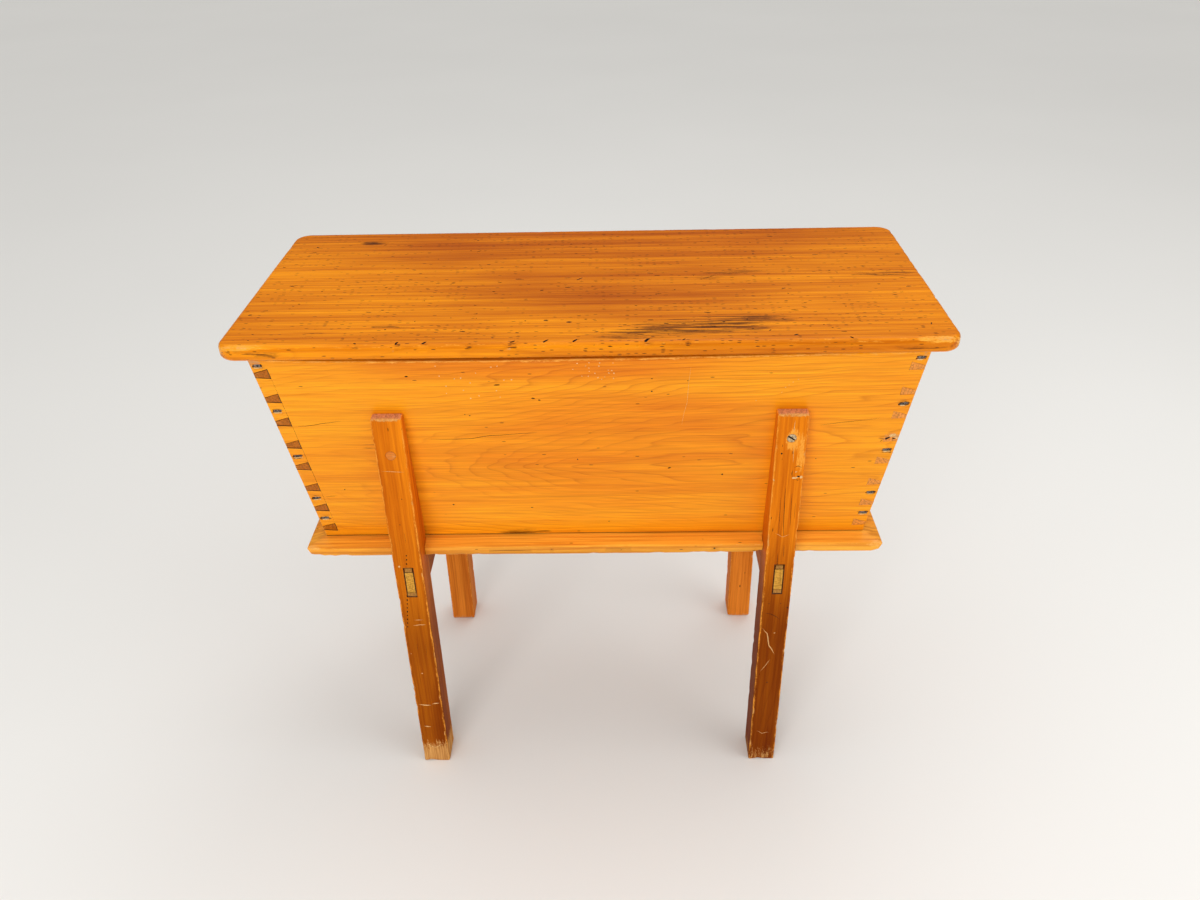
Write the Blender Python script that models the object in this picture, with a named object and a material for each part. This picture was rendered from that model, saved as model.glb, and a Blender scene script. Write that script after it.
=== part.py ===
"""A dough box on its stand, put together as the joiner made it.

A flared pine box is dovetailed at the corners and nailed to a wider bottom board. It stands between four
posts, which two bearers under the box tie front to back with wedged through tenons. A loose lid lies on top.

Metres, +Z up. The floor is z = 0, the length runs along X, the front faces -Y, and the origin lies on the
floor under the middle of the box.
"""

import math
from collections import namedtuple

import bmesh
import bpy
from mathutils import Euler, Matrix, Vector

# Clearances
FIT = 0.0003
CUTTER_REACH = 0.002

# Lid board
LID_LENGTH = 0.928
LID_DEPTH = 0.404
LID_THICKNESS = 0.021
LID_CORNER_RADIUS = 0.024
LID_EDGE_RADIUS = 0.007

# Battens under the lid, which keep it on the mouth of the box
BATTEN_WIDTH = 0.045
BATTEN_THICKNESS = 0.018
BATTEN_PLAY = 0.007
BATTEN_SCREW_HEAD = 0.008
BATTEN_SCREW_SHANK = 0.0042
BATTEN_SCREW_BITE = 0.012
BATTEN_SCREW_SPACING = 0.220

# Box: outer sizes at the rim and at the foot
BOX_RIM_LENGTH = 0.854
BOX_RIM_DEPTH = 0.388
BOX_FOOT_LENGTH = 0.780
BOX_FOOT_DEPTH = 0.289
BOX_HEIGHT = 0.312
BOARD_THICKNESS = 0.019
RIM_HOLLOW = 0.006

# Dovetails: the pins are on the end boards
PIN_COUNT = 8
PIN_NARROW = 0.0054
PIN_WIDE = 0.0127
PIN_FROM_RIM = 0.022
PIN_FROM_FOOT = 0.0175

# Bottom board
BOTTOM_PROJECTION = 0.024
BOTTOM_THICKNESS = 0.019
BOTTOM_BEVEL_DROP = 0.0048

# Legs: the rise is above the foot of the box, the standoff from the foot of the front board
STAND_HEIGHT = 0.402
LEG_SPACING = 0.528
LEG_WIDTH = 0.041
LEG_RISE = 0.2255
LEG_TOP_DEPTH = 0.0165
LEG_STANDOFF = 0.0055

# Bearers, their tenons and the wedges
BEARER_THICKNESS = 0.038
BEARER_HEIGHT = 0.054
TENON_THICKNESS = 0.013
TENON_HEIGHT = 0.038
WEDGE_HEAD = 0.007
WEDGE_TIP = 0.001

# Leg screws, and the plug over the front left one; drops are below the top of the leg
LEG_SCREW_HEAD = 0.0128
LEG_SCREW_SHANK = 0.006
LEG_SCREW_BITE = 0.013
LEG_SCREW_DROP = 0.036
PLUG_DIAMETER = 0.0135
PLUG_DEPTH = 0.006
PLUG_DROP = 0.056
SCREW_HEAD_EDGE = 0.0006
SCREW_POINT = 0.004
SLOT_WIDTH = 0.0016
SLOT_DEPTH = 0.0012

# Cut nails with flat oblong heads, sunk a little
NAIL_HEAD_LENGTH = 0.011
NAIL_HEAD_WIDTH = 0.0042
NAIL_HEAD_THICKNESS = 0.0015
NAIL_SHANK = 0.0032
NAIL_POINT = 0.0014
NAIL_BITE = 0.026
NAIL_SINK = 0.0008
BOTTOM_NAIL_SPACING = 0.150
BOTTOM_NAIL_PAIRS = 1

# Fineness of round shapes
ROUND_SIDES = 16
CORNER_STEPS = 6
EDGE_STEPS = 3
HOLLOW_STEPS = 12

# Levels
BOTTOM_TOP = STAND_HEIGHT + FIT + BOTTOM_THICKNESS
BOX_FOOT = BOTTOM_TOP + FIT
BOX_RIM = BOX_FOOT + BOX_HEIGHT
LEG_HEIGHT = BOX_FOOT + LEG_RISE
BEARER_LEVEL = STAND_HEIGHT - BEARER_HEIGHT / 2

# Flare: outward run for each unit of rise, and board thickness measured level
FRONT_SLOPE = (BOX_RIM_DEPTH - BOX_FOOT_DEPTH) / 2 / BOX_HEIGHT
END_SLOPE = (BOX_RIM_LENGTH - BOX_FOOT_LENGTH) / 2 / BOX_HEIGHT
FRONT_RUN = BOARD_THICKNESS * math.hypot(1.0, FRONT_SLOPE)
END_RUN = BOARD_THICKNESS * math.hypot(1.0, END_SLOPE)

Finish = namedtuple("Finish", "colour roughness metallic")
BOX_PINE = Finish((0.60, 0.26, 0.055, 1.0), 0.35, 0.0)
LID_PINE = Finish((0.55, 0.23, 0.045, 1.0), 0.32, 0.0)
LEG_PINE = Finish((0.36, 0.12, 0.035, 1.0), 0.42, 0.0)
WEDGE_PINE = Finish((0.52, 0.27, 0.08, 1.0), 0.5, 0.0)
PLUG_WOOD = Finish((0.50, 0.22, 0.05, 1.0), 0.45, 0.0)
NAIL_IRON = Finish((0.10, 0.085, 0.075, 1.0), 0.6, 0.9)
SCREW_STEEL = Finish((0.42, 0.38, 0.34, 1.0), 0.4, 1.0)

# A place is a location and a rotation; these rotations turn a piece whose head faces +Z
FACING_FRONT = (math.pi / 2, 0.0, 0.0)
FACING_BACK = (math.pi / 2, 0.0, math.pi)
FACING_DOWN = (math.pi, 0.0, 0.0)
UNTURNED = (0.0, 0.0, 0.0)
TURNED_ROUND = (0.0, 0.0, math.pi)
Place = namedtuple("Place", "location rotation")
Side = namedtuple("Side", "name sign")
FRONT = Side("front", -1.0)
BACK = Side("back", 1.0)
LEFT = Side("left", -1.0)
RIGHT = Side("right", 1.0)


def clear_scene():
    """Remove every object of the scene."""
    for old in list(bpy.data.objects):
        bpy.data.objects.remove(old, do_unlink=True)


def rectangle(half_x, half_y, z):
    """Four corners round the Z axis at one level."""
    return [
        Vector((-half_x, -half_y, z)),
        Vector((half_x, -half_y, z)),
        Vector((half_x, half_y, z)),
        Vector((-half_x, half_y, z)),
    ]


def circle(radius, z):
    """Points round the Z axis at one level."""
    step = 2 * math.pi / ROUND_SIDES
    angles = [step * number for number in range(ROUND_SIDES)]
    return [Vector((radius * math.cos(angle), radius * math.sin(angle), z)) for angle in angles]


def rounded_rectangle(half_x, half_y, radius, z):
    """A rectangle with round corners at one level."""
    points = []
    for quarter, (side_x, side_y) in enumerate(((1, 1), (-1, 1), (-1, -1), (1, -1))):
        centre = Vector((side_x * (half_x - radius), side_y * (half_y - radius), z))
        for step in range(CORNER_STEPS + 1):
            angle = math.pi / 2 * (quarter + step / CORNER_STEPS)
            points.append(centre + radius * Vector((math.cos(angle), math.sin(angle), 0.0)))
    return points


def fill_loops(mesh, loops, matrix):
    """Add a closed solid through loops of as many points each, with a cap at both ends."""
    rings = [[mesh.verts.new(matrix @ point) for point in loop] for loop in loops]
    for lower, upper in zip(rings, rings[1:]):
        for here in range(len(lower)):
            there = (here + 1) % len(lower)
            mesh.faces.new((lower[here], lower[there], upper[there], upper[here]))
    mesh.faces.new(rings[0])
    mesh.faces.new(rings[-1])


def mesh_of(name, solids):
    """One mesh from pairs of loops and matrix, with its faces pointing out."""
    work = bmesh.new()
    for loops, matrix in solids:
        fill_loops(work, loops, matrix)
    bmesh.ops.recalc_face_normals(work, faces=work.faces)
    data = bpy.data.meshes.new(name)
    work.to_mesh(data)
    work.free()
    return data


def matrix_of(place):
    """The matrix that sets a piece at its place."""
    return Matrix.LocRotScale(Vector(place.location), Euler(place.rotation), None)


def make_empty(name, location):
    """A bare axis that pieces are parented to."""
    empty = bpy.data.objects.new(name, None)
    empty.location = location
    bpy.context.scene.collection.objects.link(empty)
    return empty


def make_material(name, finish):
    """A plain shader with the colour, roughness and metallic value of a finish."""
    material = bpy.data.materials.new(name)
    material.use_nodes = True
    shader = material.node_tree.nodes["Principled BSDF"]
    shader.inputs["Base Color"].default_value = finish.colour
    shader.inputs["Roughness"].default_value = finish.roughness
    shader.inputs["Metallic"].default_value = finish.metallic
    return material


def make_part(name, finish, loops, parent, place, smooth=False):
    """One named piece, set at its place under its parent."""
    data = mesh_of(name, [(loops, Matrix())])
    data.materials.append(make_material(name, finish))
    if smooth:
        data.shade_smooth()
        data.set_sharp_from_angle(angle=math.radians(35))
    part = bpy.data.objects.new(name, data)
    part.parent = parent
    part.location = place.location
    part.rotation_euler = place.rotation
    bpy.context.scene.collection.objects.link(part)
    return part


def cut(part, name, solids, parent):
    """Cut solids, given in the parent's frame, out of a piece."""
    cutter = bpy.data.objects.new(name, mesh_of(name, solids))
    cutter.parent = parent
    cutter.hide_render = True
    cutter.display_type = "WIRE"
    bpy.context.scene.collection.objects.link(cutter)
    modifier = part.modifiers.new(name, "BOOLEAN")
    modifier.operation = "DIFFERENCE"
    modifier.object = cutter


def front_face(rise):
    """Distance from the middle to the outer face of the front or back board, at a rise above the foot."""
    return BOX_FOOT_DEPTH / 2 + FRONT_SLOPE * rise


def end_face(rise):
    """Distance from the middle to the outer face of an end board, at a rise above the foot."""
    return BOX_FOOT_LENGTH / 2 + END_SLOPE * rise


def pins():
    """Narrow and wide limits of each pin above the foot, from the lowest up.

    A pin is square to the sloping corner, so it is a little higher at its wide, inner side.
    """
    pitch = (BOX_HEIGHT - PIN_FROM_RIM - PIN_FROM_FOOT) / (PIN_COUNT - 1)
    found = []
    for number in range(PIN_COUNT):
        wide = PIN_FROM_FOOT + number * pitch
        narrow = wide - END_SLOPE * END_RUN
        narrow_span = (narrow - PIN_NARROW / 2, narrow + PIN_NARROW / 2)
        wide_span = (wide - PIN_WIDE / 2, wide + PIN_WIDE / 2)
        found.append((narrow_span, wide_span))
    return found


def tail_middle(tail):
    """Height above the foot of the middle of a tail, counted down from the rim."""
    from_rim = pins()[::-1]
    low = (from_rim[tail][0][1] + from_rim[tail][1][1]) / 2
    if tail == 0:
        return (low + BOX_HEIGHT) / 2
    high = (from_rim[tail - 1][0][0] + from_rim[tail - 1][1][0]) / 2
    return (low + high) / 2


def rim_dip(x):
    """How far the worn top edge of the front board lies below the rim; deepest left of the middle."""
    half = end_face(BOX_HEIGHT)
    share = (x + half) / (2 * half)
    return RIM_HOLLOW * math.sin(math.pi * share**0.7)


def front_outline(hollow):
    """Outline of the front or back board as seen from outside, with a socket for each pin."""
    right = [(end_face(0.0), 0.0)]
    for narrow, wide in pins():
        low, high = narrow[0] - FIT, narrow[1] + FIT
        inner_low, inner_high = wide[0] - FIT, wide[1] + FIT
        right.append((end_face(low), low))
        right.append((end_face(inner_low) - END_RUN - FIT, inner_low))
        right.append((end_face(inner_high) - END_RUN - FIT, inner_high))
        right.append((end_face(high), high))
    right.append((end_face(BOX_HEIGHT), BOX_HEIGHT))
    top = []
    if hollow:
        for step in range(1, HOLLOW_STEPS):
            x = end_face(BOX_HEIGHT) * (1 - 2 * step / HOLLOW_STEPS)
            top.append((x, BOX_HEIGHT - rim_dip(x)))
    left = [(-x, z) for x, z in reversed(right)]
    return right + top + left


def make_long_board(side, base):
    """The front or the back board: the outline on the outer face and on the inner face."""
    outline = front_outline(hollow=side is FRONT)
    outer = [Vector((x, -front_face(z), z)) for x, z in outline]
    inner = [point + Vector((0.0, FRONT_RUN, 0.0)) for point in outer]
    turn = UNTURNED if side is FRONT else TURNED_ROUND
    return make_part(f"{side.name}_board", BOX_PINE, [outer, inner], base, Place((0.0, 0.0, BOX_FOOT), turn))


def end_loop(inset, face):
    """Outline of an end board with its pins, on the outer face (0, narrow) or the inner face (1, wide)."""
    def shoulder(z):
        return -(front_face(z) - FRONT_RUN - FIT)

    edge = [(shoulder(0.0), 0.0)]
    for pin in pins():
        low, high = pin[face]
        edge += [(shoulder(low), low), (-front_face(low), low)]
        edge += [(-front_face(high), high), (shoulder(high), high)]
    edge.append((shoulder(BOX_HEIGHT), BOX_HEIGHT))
    other = [(-y, z) for y, z in reversed(edge)]
    return [Vector((end_face(z) - inset, y, z)) for y, z in edge + other]


def make_end_board(side, base):
    """The left or the right end board."""
    loops = [end_loop(0.0, 0), end_loop(END_RUN, 1)]
    turn = UNTURNED if side is RIGHT else TURNED_ROUND
    return make_part(f"{side.name}_end_board", BOX_PINE, loops, base, Place((0.0, 0.0, BOX_FOOT), turn))


def leg_faces():
    """Distances from the middle to a leg's inner and outer face."""
    inner = BOX_FOOT_DEPTH / 2 + LEG_STANDOFF
    outer = front_face(LEG_RISE) + FIT + LEG_TOP_DEPTH
    return inner, outer


def leg_place(side_x, side_y):
    """Place of a leg, whose origin is the middle of its sole and which faces the front."""
    turn = UNTURNED if side_y is FRONT else TURNED_ROUND
    return Place((side_x.sign * LEG_SPACING / 2, side_y.sign * sum(leg_faces()) / 2, 0.0), turn)


def make_bottom_board(base):
    """The bottom board: flat under the box, bevelled outside it, notched for the legs."""
    half_x = BOX_FOOT_LENGTH / 2
    half_y = BOX_FOOT_DEPTH / 2
    out_x = half_x + BOTTOM_PROJECTION
    out_y = half_y + BOTTOM_PROJECTION
    loops = [
        rectangle(out_x, out_y, 0.0),
        rectangle(out_x, out_y, BOTTOM_THICKNESS - BOTTOM_BEVEL_DROP),
        rectangle(half_x, half_y, BOTTOM_THICKNESS),
    ]
    board = make_part("bottom_board", BOX_PINE, loops, base, Place((0.0, 0.0, STAND_HEIGHT + FIT), UNTURNED))
    inner, outer = leg_faces()
    notches = []
    for side_x in (LEFT, RIGHT):
        for side_y in (FRONT, BACK):
            half_depth = (outer - inner) / 2 + FIT
            notch = [
                rectangle(LEG_WIDTH / 2 + FIT, half_depth, STAND_HEIGHT - CUTTER_REACH),
                rectangle(LEG_WIDTH / 2 + FIT, half_depth, BOTTOM_TOP + CUTTER_REACH),
            ]
            notches.append((notch, matrix_of(leg_place(side_x, side_y))))
    cut(board, "leg_notches", notches, base)
    return board


def make_leg(side_x, side_y, base):
    """A post whose upper back is bevelled to lie on the sloping board, with a mortise flared for the wedges."""
    inner, outer = leg_faces()
    middle = (inner + outer) / 2
    seat_rise = (LEG_STANDOFF - FIT) / FRONT_SLOPE
    profile = [
        (outer, 0.0),
        (inner, 0.0),
        (inner, BOX_FOOT + seat_rise),
        (outer - LEG_TOP_DEPTH, LEG_HEIGHT),
        (outer, LEG_HEIGHT),
    ]
    loops = [[Vector((x, middle - out, z)) for out, z in profile] for x in (-LEG_WIDTH / 2, LEG_WIDTH / 2)]
    name = f"leg_{side_y.name}_{side_x.name}"
    leg = make_part(name, LEG_PINE, loops, base, leg_place(side_x, side_y))
    half_depth = (outer - inner) / 2
    half_width = TENON_THICKNESS / 2 + FIT
    narrow = TENON_HEIGHT / 2 + FIT + WEDGE_TIP + FIT
    wide = TENON_HEIGHT / 2 + FIT + WEDGE_HEAD + FIT
    mortise = [
        rectangle(half_width, narrow, -half_depth - CUTTER_REACH),
        rectangle(half_width, narrow, -half_depth),
        rectangle(half_width, wide, half_depth),
        rectangle(half_width, wide, half_depth + CUTTER_REACH),
    ]
    cut(leg, f"{name}_mortise", [(mortise, matrix_of(Place((0.0, 0.0, BEARER_LEVEL), FACING_FRONT)))], leg)
    return leg


def make_bearer(side, base):
    """A bearer under the bottom board, with a tenon through a leg at each end."""
    inner, outer = leg_faces()
    shoulder = inner - FIT
    body = (BEARER_THICKNESS / 2, BEARER_HEIGHT / 2)
    tenon = (TENON_THICKNESS / 2, TENON_HEIGHT / 2)
    sections = [(tenon, -outer), (tenon, -shoulder), (body, -shoulder)]
    sections += [(body, shoulder), (tenon, shoulder), (tenon, outer)]
    loops = [rectangle(half_x, half_y, along) for (half_x, half_y), along in sections]
    place = Place((side.sign * LEG_SPACING / 2, 0.0, BEARER_LEVEL), FACING_FRONT)
    return make_part(f"bearer_{side.name}", LEG_PINE, loops, base, place)


def make_wedges(side_x, side_y, base):
    """The wedge above and the wedge below one tenon, driven in from the leg's outer face."""
    inner, outer = leg_faces()
    half_depth = (outer - inner) / 2
    facing = FACING_FRONT if side_y is FRONT else FACING_BACK
    place = Place((side_x.sign * LEG_SPACING / 2, side_y.sign * (inner + outer) / 2, BEARER_LEVEL), facing)
    root = TENON_HEIGHT / 2 + FIT
    for level, sign in (("upper", 1.0), ("lower", -1.0)):
        loops = []
        for along, thickness in ((-half_depth, WEDGE_TIP), (half_depth, WEDGE_HEAD)):
            corners = rectangle(TENON_THICKNESS / 2, thickness / 2, along)
            loops.append([point + Vector((0.0, sign * (root + thickness / 2), 0.0)) for point in corners])
        make_part(f"wedge_{side_y.name}_{side_x.name}_{level}", WEDGE_PINE, loops, base, place)


def nail_loops(through, grow=0.0):
    """A nail with its head at the origin, facing +Z; grown, it is the hole for one."""
    length = through + NAIL_BITE
    head = (NAIL_HEAD_LENGTH / 2 + grow, NAIL_HEAD_WIDTH / 2 + grow)
    root = (NAIL_SHANK / 2 + grow, NAIL_SHANK / 2 + grow)
    point = (NAIL_POINT / 2 + grow, NAIL_POINT / 2 + grow)
    above = NAIL_SINK + CUTTER_REACH if grow else 0.0
    neck = -NAIL_HEAD_THICKNESS - grow
    sections = [(head, above), (head, neck), (root, neck), (point, -length - grow)]
    return [rectangle(half_x, half_y, z) for (half_x, half_y), z in sections]


def corner_nail_places(side_x, side_y):
    """Places of the nails of one corner: in every second tail, and in the tail over the lowest pin."""
    facing = FACING_FRONT if side_y is FRONT else FACING_BACK
    places = []
    for tail in [*range(0, PIN_COUNT - 1, 2), PIN_COUNT - 1]:
        rise = tail_middle(tail)
        x = side_x.sign * (end_face(rise) - END_RUN / 2)
        y = side_y.sign * (front_face(rise) - NAIL_SINK)
        places.append(Place((x, y, BOX_FOOT + rise), facing))
    return places


def make_corner_nails(side_x, side_y, boards, base):
    """Nails level through the tails of one corner into the end board."""
    corner = f"{side_y.name}_{side_x.name}"
    places = corner_nail_places(side_x, side_y)
    for number, place in enumerate(places, start=1):
        make_part(f"corner_nail_{corner}_{number}", NAIL_IRON, nail_loops(FRONT_RUN), base, place)
    holes = [(nail_loops(FRONT_RUN, FIT), matrix_of(place)) for place in places]
    for board in boards:
        cut(board, f"{board.name}_{corner}_nail_holes", holes, base)


def bottom_nail_places():
    """Names and places of the nails that come up through the bottom board, grouped by the board they hold."""
    level = STAND_HEIGHT + FIT + NAIL_SINK
    long_out = front_face(NAIL_BITE / 2) - FRONT_RUN / 2
    end_out = end_face(NAIL_BITE / 2) - END_RUN / 2
    found = {}
    for side in (FRONT, BACK):
        numbers = range(-BOTTOM_NAIL_PAIRS, BOTTOM_NAIL_PAIRS + 1)
        spots = [(number * BOTTOM_NAIL_SPACING, side.sign * long_out, level) for number in numbers]
        found[f"{side.name}_board"] = [Place(spot, FACING_DOWN) for spot in spots]
    for side in (LEFT, RIGHT):
        found[f"{side.name}_end_board"] = [Place((side.sign * end_out, 0.0, level), FACING_DOWN)]
    return found


def make_bottom_nails(bottom, boards, base):
    """Nails up through the bottom board into the lower edge of each side of the box."""
    through = BOTTOM_THICKNESS + FIT - NAIL_SINK
    all_holes = []
    for board in boards:
        places = bottom_nail_places()[board.name]
        for number, place in enumerate(places, start=1):
            make_part(f"bottom_nail_{board.name}_{number}", NAIL_IRON, nail_loops(through), base, place)
        holes = [(nail_loops(through, FIT), matrix_of(place)) for place in places]
        cut(board, f"{board.name}_bottom_nail_holes", holes, base)
        all_holes += holes
    cut(bottom, "bottom_nail_holes", all_holes, base)


def screw_loops(head, shank, length):
    """A countersunk screw with its head at the origin, facing +Z."""
    cone = -SCREW_HEAD_EDGE - (head - shank) / 2
    return [
        circle(head / 2, 0.0),
        circle(head / 2, -SCREW_HEAD_EDGE),
        circle(shank / 2, cone),
        circle(shank / 2, -length + SCREW_POINT),
        circle(shank / 4, -length),
    ]


def screw_hole_loops(head, shank, length, bore, depth):
    """The hole for a screw, opened to a bore as far as a depth above its head."""
    cone = -SCREW_HEAD_EDGE - (head - shank) / 2
    return [
        circle(bore / 2 + FIT, depth + CUTTER_REACH),
        circle(bore / 2 + FIT, 0.0),
        circle(head / 2 + FIT, -SCREW_HEAD_EDGE),
        circle(shank / 2 + FIT, cone - FIT),
        circle(shank / 2 + FIT, -length - FIT),
    ]


def make_screw(name, head, shank, length, parent, place):
    """A slotted screw."""
    screw = make_part(name, SCREW_STEEL, screw_loops(head, shank, length), parent, place, smooth=True)
    slot = [
        rectangle(head / 2 + CUTTER_REACH, SLOT_WIDTH / 2, -SLOT_DEPTH),
        rectangle(head / 2 + CUTTER_REACH, SLOT_WIDTH / 2, CUTTER_REACH),
    ]
    cut(screw, f"{name}_slot", [(slot, Matrix())], screw)


def make_leg_fixing(leg, board, side_x, side_y, base):
    """The screw that holds a leg's top to the box; the front left one lies under a wooden plug."""
    plugged = side_x is LEFT and side_y is FRONT
    drop = PLUG_DROP if plugged else LEG_SCREW_DROP
    depth = PLUG_DEPTH if plugged else 0.0
    bore = PLUG_DIAMETER if plugged else LEG_SCREW_HEAD
    outer = leg_faces()[1]
    through = outer - front_face(LEG_RISE - drop) - depth
    length = through + LEG_SCREW_BITE
    facing = FACING_FRONT if side_y is FRONT else FACING_BACK
    x = side_x.sign * LEG_SPACING / 2
    level = LEG_HEIGHT - drop
    place = Place((x, side_y.sign * (outer - depth), level), facing)
    corner = f"{side_y.name}_{side_x.name}"
    make_screw(f"leg_screw_{corner}", LEG_SCREW_HEAD, LEG_SCREW_SHANK, length, base, place)
    hole = screw_hole_loops(LEG_SCREW_HEAD, LEG_SCREW_SHANK, length, bore, depth)
    for wood in (leg, board):
        cut(wood, f"{wood.name}_{corner}_screw_hole", [(hole, matrix_of(place))], base)
    if plugged:
        loops = [circle(PLUG_DIAMETER / 2, -PLUG_DEPTH + FIT), circle(PLUG_DIAMETER / 2, 0.0)]
        face = Place((x, side_y.sign * outer, level), facing)
        make_part(f"leg_plug_{corner}", PLUG_WOOD, loops, base, face, smooth=True)


def make_lid_board(lid):
    """The lid: one board with round corners and edges, resting on the rim."""
    arc = [math.pi / 2 * step / EDGE_STEPS for step in range(EDGE_STEPS + 1)]
    lower = [(LID_EDGE_RADIUS * (1 - math.sin(turn)), LID_EDGE_RADIUS * (1 - math.cos(turn))) for turn in arc]
    upper = [(inset, LID_THICKNESS - z) for inset, z in reversed(lower)]
    loops = []
    for inset, z in lower + upper:
        half_x = LID_LENGTH / 2 - inset
        half_y = LID_DEPTH / 2 - inset
        loops.append(rounded_rectangle(half_x, half_y, LID_CORNER_RADIUS - inset, z))
    return make_part("lid_board", LID_PINE, loops, lid, Place((0.0, 0.0, FIT), UNTURNED), smooth=True)


def make_batten(side, lid_board, lid):
    """A batten under one end of the lid, inside the mouth, with its two screws."""
    mouth_rise = BOX_HEIGHT - BATTEN_THICKNESS
    half_length = front_face(mouth_rise) - FRONT_RUN - BATTEN_PLAY
    x = side.sign * (end_face(mouth_rise) - END_RUN - BATTEN_PLAY - BATTEN_WIDTH / 2)
    loops = [
        rectangle(BATTEN_WIDTH / 2, half_length, -BATTEN_THICKNESS),
        rectangle(BATTEN_WIDTH / 2, half_length, 0.0),
    ]
    batten = make_part(f"lid_batten_{side.name}", BOX_PINE, loops, lid, Place((x, 0.0, 0.0), UNTURNED))
    length = BATTEN_THICKNESS + FIT + BATTEN_SCREW_BITE
    holes = []
    for end in (FRONT, BACK):
        place = Place((x, end.sign * BATTEN_SCREW_SPACING / 2, -BATTEN_THICKNESS), FACING_DOWN)
        name = f"batten_screw_{end.name}_{side.name}"
        make_screw(name, BATTEN_SCREW_HEAD, BATTEN_SCREW_SHANK, length, lid, place)
        hole = screw_hole_loops(BATTEN_SCREW_HEAD, BATTEN_SCREW_SHANK, length, BATTEN_SCREW_HEAD, 0.0)
        holes.append((hole, matrix_of(place)))
    for wood in (batten, lid_board):
        cut(wood, f"{wood.name}_{side.name}_screw_holes", holes, lid)


def make_box(base):
    """The box with its nails; returns the front and the back board."""
    long_boards = {side: make_long_board(side, base) for side in (FRONT, BACK)}
    end_boards = {side: make_end_board(side, base) for side in (LEFT, RIGHT)}
    bottom = make_bottom_board(base)
    for side_x, end_board in end_boards.items():
        for side_y, long_board in long_boards.items():
            make_corner_nails(side_x, side_y, (long_board, end_board), base)
    make_bottom_nails(bottom, [*long_boards.values(), *end_boards.values()], base)
    return long_boards


def make_stand(long_boards, base):
    """Four legs fixed to the box, and the bearers and wedges that tie them in pairs."""
    for side_x in (LEFT, RIGHT):
        make_bearer(side_x, base)
        for side_y, board in long_boards.items():
            leg = make_leg(side_x, side_y, base)
            make_leg_fixing(leg, board, side_x, side_y, base)
            make_wedges(side_x, side_y, base)


def make_lid():
    """The loose lid, which lifts straight off the rim."""
    lid = make_empty("lid_lift", (0.0, 0.0, BOX_RIM))
    board = make_lid_board(lid)
    for side in (LEFT, RIGHT):
        make_batten(side, board, lid)


def main():
    """Build the whole object."""
    clear_scene()
    base = make_empty("box_and_stand", (0.0, 0.0, 0.0))
    long_boards = make_box(base)
    make_stand(long_boards, base)
    make_lid()


if __name__ == "__main__":
    main()
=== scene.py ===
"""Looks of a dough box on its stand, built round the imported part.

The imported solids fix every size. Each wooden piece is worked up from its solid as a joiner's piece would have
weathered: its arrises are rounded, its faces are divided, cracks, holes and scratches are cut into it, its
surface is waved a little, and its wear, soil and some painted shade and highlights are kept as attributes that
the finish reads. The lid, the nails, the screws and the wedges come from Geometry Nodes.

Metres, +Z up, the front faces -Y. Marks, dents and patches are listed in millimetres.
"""

from __future__ import annotations

import logging
import math
from contextlib import contextmanager
from dataclasses import dataclass, field
from enum import Enum
from functools import cache, reduce
from typing import Callable, Iterable, Iterator, Sequence, Union

import bmesh
import bpy
import numpy as np
from mathutils import Euler, Matrix, Vector


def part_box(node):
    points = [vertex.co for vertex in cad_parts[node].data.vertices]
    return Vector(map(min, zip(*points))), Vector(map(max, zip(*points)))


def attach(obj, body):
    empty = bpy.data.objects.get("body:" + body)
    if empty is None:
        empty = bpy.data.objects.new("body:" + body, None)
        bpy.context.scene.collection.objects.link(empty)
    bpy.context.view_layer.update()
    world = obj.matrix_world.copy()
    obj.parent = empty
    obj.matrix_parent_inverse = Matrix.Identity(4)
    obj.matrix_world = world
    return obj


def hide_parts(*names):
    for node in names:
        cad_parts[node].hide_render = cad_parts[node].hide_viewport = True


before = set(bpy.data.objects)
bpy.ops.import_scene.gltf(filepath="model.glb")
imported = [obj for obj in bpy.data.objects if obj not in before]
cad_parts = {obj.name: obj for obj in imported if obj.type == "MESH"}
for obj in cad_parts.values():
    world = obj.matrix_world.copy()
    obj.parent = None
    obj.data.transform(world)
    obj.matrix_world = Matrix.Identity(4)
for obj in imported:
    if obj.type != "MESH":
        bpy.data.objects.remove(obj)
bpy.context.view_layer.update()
LOG = logging.getLogger("dough_box")
MM = 0.001
# The distance within which points are merged, and the angle below which two faces count as one.
WELD = 1e-5
FLAT = math.radians(0.3)
NOISE_MIDDLE = (0.5, 0.5, 0.5)
# The corners of a square, gone round once, and the two ends of a line.
ROUND = ((-1, -1), (1, -1), (1, 1), (-1, 1), (-1, -1))
BOTH = (-1.0, 1.0)

Array = np.ndarray
Material = bpy.types.Material
Node = bpy.types.Node
Socket = bpy.types.NodeSocket
Solid = bmesh.types.BMesh
Thing = bpy.types.Object
Spot = tuple[float, float]
Triple = tuple[float, float, float]
Value = Union[Socket, float, int, bool, tuple, Vector]


class Body(Enum):
    """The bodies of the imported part."""

    BOX = "box_and_stand"
    LID = "lid"


class Slot(Enum):
    """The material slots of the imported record."""

    BOX = "box_pine"
    LID = "lid_pine"
    LEG = "leg_pine"
    WEDGE = "wedge_pine"
    PLUG = "plug_wood"
    NAIL = "nail_iron"
    SCREW = "screw_steel"


class Grain(Enum):
    """The way the grain runs, as the turn that lays it along X."""

    ALONG_X = (0.0, 0.0, 0.0)
    ALONG_Y = (0.0, 0.0, -math.pi / 2)
    ALONG_Z = (0.0, math.pi / 2, 0.0)


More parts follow.
